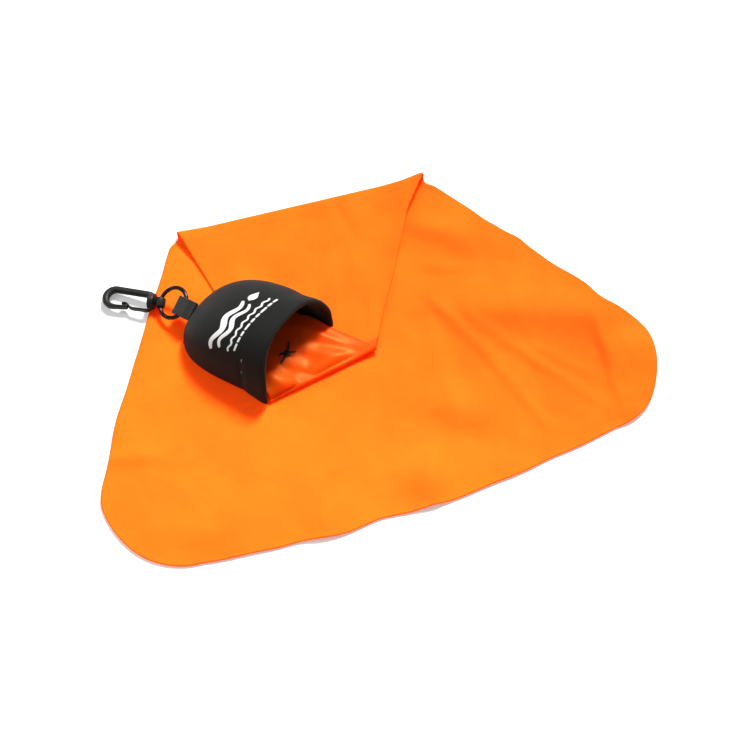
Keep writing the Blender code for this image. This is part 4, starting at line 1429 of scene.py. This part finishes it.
def knot():
    """Black cord knotted through the towel's end, with its cut tails."""
    obs = []
    c = np.array([*pouch_point(7.0, -1.7), 0.0])
    t = 0.62
    c[2] = float(neck_height(np.array([0.47]), 0.42)[0]) + CLOTH_HALF + 0.7
    d = unit(np.array([*(pouch_point(7.5, 7.1) - pouch_point(7.0, -1.7)), 0.0]))
    e = np.array([-d[1], d[0], 0.0])
    up = np.array([0.0, 0.0, 1.0])
    loop = []
    for i in range(40):
        a = 2 * math.pi * i / 40
        loop.append(c + d * (1.25 * math.cos(a)) + e * (0.75 * math.sin(a)) + up * (0.45 * math.sin(2 * a) + 0.25))
    obs.append(tube_mesh("cord", loop, 0.55, 0.55, 10, (0.1, 0.2, 1), THREAD, closed=True))
    loop = []
    for i in range(40):
        a = 2 * math.pi * i / 40
        loop.append(c + d * (0.55 * math.cos(a)) + e * (1.05 * math.sin(a)) + up * (0.5 * math.cos(2 * a) + 0.45))
    obs.append(tube_mesh("cord", loop, 0.55, 0.55, 10, (0.2, 0.1, 1), THREAD, closed=True))
    for sx, sy, bend, long_ in ((1, 0.15, 0.9, 5.2), (-1, -0.1, -0.7, 4.8), (0.55, -0.85, 0.5, 3.4), (-0.5, 0.8, 0.5, 2.9)):
        way = unit(d * sx + e * sy)
        side = np.array([-way[1], way[0], 0.0])
        pts = []
        for i in range(16):
            f = i / 15
            p = c + way * (0.5 + long_ * f) + side * (bend * f * f)
            p[2] = c[2] + 0.35 * (1 - f) + 0.35 * math.sin(3.0 * f)
            pts.append(p)
        obs.append(tube_mesh("cord", pts, np.linspace(0.56, 0.42, 16), np.linspace(0.56, 0.42, 16), 10, (0, 0, 1), THREAD, cap=2))
    return join("cord_knot", obs)


tie = knot()
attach(tie, "pouch")
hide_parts("retaining_knot")


# ---------------------------------------------------------------- tab, ring and hook
def ring_axes():
    x = np.array([math.cos(RING_ANGLE), math.sin(RING_ANGLE), 0])
    y = np.array([-x[1], x[0], 0])
    y = y if y[1] > 0 else -y
    wire = y * math.cos(RING_ROLL) + np.array([0, 0, math.sin(RING_ROLL)])
    e = unit(np.cross(-x, wire))
    e = e if e[2] > 0 else -e
    d = unit(-x * math.cos(RING_RISE) + e * math.sin(RING_RISE))
    n = unit(np.cross(d, wire))
    return d, wire, (n if n[2] > 0 else -n)


RD, RW, RN = ring_axes()
RC = np.array(EYE_POS) + RD * RING_R
TC, TS_ = math.cos(TAB_TURN), math.sin(TAB_TURN)
TP = RC + RD * (RING_R * TC) - RW * (RING_R * TS_)
TACROSS = unit(RW * TC + RD * TS_)
TOUT = unit(RD * TC - RW * TS_)


def webbing():
    """One length of tape, folded round the ring's wire and caught in the pouch's end."""
    half = TAB_SLOT + WEBBING / 2
    path = []
    c = -(TAB_FOLD - TAB_SLOT - WEBBING)
    e = TAB_BEYOND + 1.0
    for f in np.linspace(0, 1, 14):
        x = e + (c - e) * f
        z = 0.56 + (half - 0.56) * float(smooth((e - x) / 3.4))
        path.append((x, z))
    for i in range(1, 16):
        a = math.pi * i / 16
        path.append((c - half * math.sin(a), half * math.cos(a)))
    for f in np.linspace(0, 1, 14):
        x = c + (e - c) * f
        z = 0.56 + (half - 0.56) * float(smooth((e - x) / 3.4))
        path.append((x, -z))
    path = np.array(path)
    tang = np.gradient(path, axis=0)
    tang /= np.linalg.norm(tang, axis=1, keepdims=True)
    norm = np.stack([-tang[:, 1], tang[:, 0]], 1)
    run = np.concatenate([[0], np.cumsum(np.linalg.norm(np.diff(path, axis=0), axis=1))])
    section = []
    w, r = TAB_WIDTH / 2, WEBBING / 2
    K = 6
    for s in np.linspace(-w + r, w - r, 22):
        section.append((s, r))
    for k in range(1, K):
        a = math.pi / 2 - math.pi * k / K
        section.append((w - r + r * math.cos(a), r * math.sin(a)))
    for s in np.linspace(w - r, -w + r, 22):
        section.append((s, -r))
    for k in range(1, K):
        a = -math.pi / 2 - math.pi * k / K
        section.append((-w + r + r * math.cos(a), r * math.sin(a)))
    verts, faces, uv = [], [], []
    m = len(section)
    for p, n, q in zip(path, norm, run):
        for s, h in section:
            a = p + n * h
            verts.append(TP + TOUT * a[0] + TACROSS * s + RN * a[1])
            uv.append((q / 100.0, s / 100.0))
    for i in range(len(path) - 1):
        for k in range(m):
            j = (k + 1) % m
            faces.append((i * m + k, i * m + j, (i + 1) * m + j, (i + 1) * m + k))
    faces.append(tuple(range(m))[::-1])
    faces.append(tuple(range((len(path) - 1) * m, len(path) * m)))
    return outward(new_object("tape_tab", verts, faces, TAPE, uv, sharp=60))


tape = webbing()
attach(tape, "tab")
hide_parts("webbing_tab")


def tape_stitches():
    obs = []
    for rowx in (2.6, 3.5):
        half = TAB_SLOT + WEBBING / 2
        z = 0.56 + (half - 0.56) * float(smooth((TAB_BEYOND + 1.0 - rowx) / 3.4)) + WEBBING / 2
        for i in range(6):
            s = -3.7 + 7.4 * i / 5
            p = TP + TOUT * rowx + TACROSS * s + RN * (z + 0.02)
            slope = unit(TOUT * 1.0 + RN * -0.3)
            n = unit(np.cross(slope, TACROSS))
            n = n if n @ RN > 0 else -n
            obs.append(stitch("tape_stitch", p, TACROSS, n, 1.25, THREAD, 0.15, 0.02))
    return join("tape_stitches", obs)


bar = tape_stitches()
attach(bar, "tab")
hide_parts("tab_stitch")


def ring_wire():
    pts = []
    n = 120
    for i in range(n):
        a = 2 * math.pi * i / n
        pts.append(RC + RD * (RING_R * math.cos(a)) + RW * (RING_R * math.sin(a)))
    # the butt joint: the wire necks a little where its two ends meet
    r = [RING_WIRE - 0.16 * math.exp(-(((i - 34) / 0.8) ** 2)) for i in range(n)]
    return tube_mesh("wire_ring", pts, r, r, 28, tuple(RN), METAL, closed=True)


wire = ring_wire()
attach(wire, "ring")
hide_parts("ring")


def hook_axes():
    flat = np.array([math.cos(HOOK_ANGLE), math.sin(HOOK_ANGLE), 0])
    y = np.array([flat[1], -flat[0], 0])
    y = y if y[1] > 0 else -y
    x = flat * math.cos(HOOK_DROP) - np.array([0, 0, math.sin(HOOK_DROP)])
    z = np.cross(x, y)
    z = z if z[2] > 0 else -z
    return unit(x), y, unit(z)


HX, HY, HZ = hook_axes()
EYE = np.array(EYE_POS)


def hook_point(px, py, pz=0.0):
    return EYE + HX * (EYE_TO_BARREL + px) + HY * py + HZ * pz


def swivel():
    up = unit(np.cross(HX, RW))
    across = unit(np.cross(up, HX))
    verts, faces, uv = [], [], []
    # the eye: a short rounded sleeve that the ring's wire passes through
    N, K = 72, 28
    for i in range(N):
        a = 2 * math.pi * i / N
        radial = HX * math.cos(a) + up * math.sin(a)
        for k in range(K):
            b = 2 * math.pi * k / K
            c, d = math.cos(b), math.sin(b)
            c = math.copysign(abs(c) ** 0.75, c)
            d = math.copysign(abs(d) ** 0.75, d)
            verts.append(EYE + radial * (EYE_R + 0.62 * c) + across * (2.2 * d))
            uv.append((i / N * 0.13, k / K * 0.05))
    for i in range(N):
        j = (i + 1) % N
        for k in range(K):
            m = (k + 1) % K
            faces.append((i * K + k, i * K + m, j * K + m, j * K + k))
    eye = outward(new_object("eye", verts, faces, PLASTIC, uv))
    stem = lathe_mesh(
        "stem",
        rounded([(EYE_R - 0.15, 0.3), (EYE_R - 0.1, 1.2), (EYE_R + 0.5, 1.1), (EYE_R + 0.6, 0.95), (EYE_TO_BARREL + 0.95, 0.95), (EYE_TO_BARREL + 1.0, 1.65), (EYE_TO_BARREL + 1.6, 1.75), (EYE_TO_BARREL + 2.05, 1.3), (EYE_TO_BARREL + 2.1, 0.2)], 0.2),
        40,
        EYE,
        HX,
        PLASTIC,
    )
    return join("swivel", [eye, stem])


eye = swivel()
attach(eye, "swivel")
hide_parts("swivel_eye")


def catmull(points, per=10):
    p = np.array(points, float)
    p = np.concatenate([[2 * p[0] - p[1]], p, [2 * p[-1] - p[-2]]])
    out = []
    for i in range(1, len(p) - 2):
        for k in range(per):
            t = k / per
            out.append(0.5 * ((2 * p[i]) + (-p[i - 1] + p[i + 1]) * t + (2 * p[i - 1] - 5 * p[i] + 4 * p[i + 1] - p[i + 2]) * t * t + (-p[i - 1] + 3 * p[i] - 3 * p[i + 1] + p[i + 2]) * t**3))
    out.append(p[-2])
    return np.array(out)


def hook():
    end = HOOK_LENGTH - HOOK_HALF_NOSE
    bar_ = HOOK_BAR / 2
    # centre line in the hook's plane, with half-width and half-depth
    line = []
    for i in range(14):
        t = (i / 13) ** 1.25
        px = 1.2 + (end - 1.2) * t
        outer = HOOK_HALF_ROOT + (HOOK_HALF_NOSE - HOOK_HALF_ROOT) * t
        outer = min(outer, BARREL_R + 0.4 + 0.5 * max(0.0, px - 1.6))
        line.append((px, outer - bar_, bar_, HOOK_DEPTH / 2 * (0.9 + 0.1 * t)))
    for i in range(1, 19):
        a = math.pi * i / 18
        thick = bar_ + 0.35 * math.sin(a) - 0.45 * (i / 18)
        r = HOOK_HALF_NOSE - thick
        line.append((end + r * math.sin(a), r * math.cos(a), thick, HOOK_DEPTH / 2))
    for i in (1, 2, 3, 4):
        line.append((end - 1.65 * i, -HOOK_HALF_NOSE + 0.98 + 0.11 * i, 0.98 - 0.06 * i, HOOK_DEPTH / 2 - 0.1))
    c = catmull(line, 5)
    pts = [hook_point(q[0], q[1]) for q in c]
    body = tube_mesh("bar", pts, c[:, 2], c[:, 3], 28, tuple(HZ), PLASTIC, square=0.88, cap=5)
    barrel = lathe_mesh(
        "barrel",
        rounded([(0.7, 1.3), (0.0, 1.35), (0.0, BARREL_R - 0.75), (0.35, BARREL_R - 0.2), (1.0, BARREL_R), (1.1, BARREL_R - 0.14), (1.3, BARREL_R - 0.14), (1.4, BARREL_R), (BARREL_LENGTH - 0.35, BARREL_R + 0.1), (BARREL_LENGTH + 0.05, BARREL_R - 0.5), (BARREL_LENGTH + 0.1, 0.3)], 0.22),
        64,
        hook_point(0, 0),
        HX,
        PLASTIC,
    )
    # the web between barrel and back bar
    web = tube_mesh(
        "web",
        [hook_point(0.9, 1.2), hook_point(2.2, 2.2), hook_point(4.6, 3.2)],
        [1.4, 1.6, 1.0],
        [1.5, 1.6, 1.5],
        20,
        tuple(HZ),
        PLASTIC,
        square=0.8,
        cap=3,
    )
    return join("snap_hook", [body, barrel, web])


clip = hook()
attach(clip, "hook")
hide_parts("hook_body")


def gate():
    end = HOOK_LENGTH - HOOK_HALF_NOSE
    low = -HOOK_HALF_NOSE
    line = [
        (BARREL_LENGTH - 1.6, -BARREL_R - 0.4, 0.5, 1.25),
        (BARREL_LENGTH - 0.7, -BARREL_R - 1.1, 0.55, 1.3),
        (BARREL_LENGTH + 0.6, -HOOK_HALF_ROOT - 0.1, 0.52, 1.35),
        (BARREL_LENGTH + 2.6, low + 0.95, 0.5, 1.35),
        (end - 12.0, low + 0.95, 0.5, 1.35),
        (end - 9.6, low + 1.05, 0.5, 1.35),
        (end - 8.1, low + 1.6, 0.5, 1.35),
        (end - 6.6, low + 2.9, 0.5, 1.35),
        (end - 5.4, low + 3.25, 0.52, 1.3),
        (end - 4.4, low + 3.1, 0.5, 1.2),
    ]
    c = catmull(line, 8)
    pts = [hook_point(q[0], q[1]) for q in c]
    return tube_mesh("snap_gate", pts, c[:, 2], c[:, 3], 20, tuple(HZ), PLASTIC, square=0.75, cap=4)


tongue = gate()
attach(tongue, "gate")
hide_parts("hook_gate")


# ---------------------------------------------------------------- studio
def floor():
    me = bpy.data.meshes.new("studio_floor")
    s = 3.0
    me.from_pydata([(-s, -s, -0.0003), (s, -s, -0.0003), (s, s, -0.0003), (-s, s, -0.0003)], [], [(0, 1, 2, 3)])
    me.materials.append(floor_material())
    ob = bpy.data.objects.new("studio_floor", me)
    bpy.context.scene.collection.objects.link(ob)
    return ob


def area_light(name, place, aim, size, power, colour=(1, 1, 1)):
    data = bpy.data.lights.new(name, "AREA")
    data.shape = "RECTANGLE"
    data.size, data.size_y = size
    data.energy = power
    data.color = colour
    ob = bpy.data.objects.new(name, data)
    bpy.context.scene.collection.objects.link(ob)
    ob.location = place
    ob.rotation_euler = (Vector(aim) - Vector(place)).to_track_quat("-Z", "Y").to_euler()
    return ob


ground = floor()
key = area_light("key", (0.60, 0.76, 1.26), (0.0, 0.0, 0.0), (0.36, 0.36), 43.0)
fill = area_light("fill", (-1.0, 0.35, 1.3), (-0.03, 0.0, 0), (0.8, 0.8), 6.0)
world = bpy.data.worlds.new("studio")
bpy.context.scene.world = world
world.use_nodes = True
bg = world.node_tree.nodes["Background"]
bg.inputs[0].default_value = (1, 1, 1, 1)
bg.inputs[1].default_value = 0.20
bpy.context.scene.view_settings.view_transform = "Standard"
bpy.context.scene.view_settings.look = "None"

elev, turn, reach = math.radians(60.0), math.radians(-16.0), 0.772
back_way = Vector((math.sin(turn) * math.cos(elev), -math.cos(turn) * math.cos(elev), math.sin(elev)))
right_way = Vector((math.cos(turn), math.sin(turn), 0))
up_way = back_way.cross(right_way)
cam_data = bpy.data.cameras.new("camera")
cam_data.lens = 85.0
cam_data.sensor_width = 36.0
cam = bpy.data.objects.new("camera", cam_data)
bpy.context.scene.collection.objects.link(cam)
m = Matrix((right_way, up_way, back_way)).transposed().to_4x4()
m.translation = Vector((SHIFT[0] / 1000, SHIFT[1] / 1000, 0)) + back_way * reach
cam.matrix_world = m
bpy.context.scene.camera = cam

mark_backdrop(ground, key, fill)


def plain(b):
    return [[float(c) for c in p] if hasattr(p, "__len__") else float(p) for p in b]


{"cad": plain(CAD_BOUNDS), "visual": plain(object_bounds())}
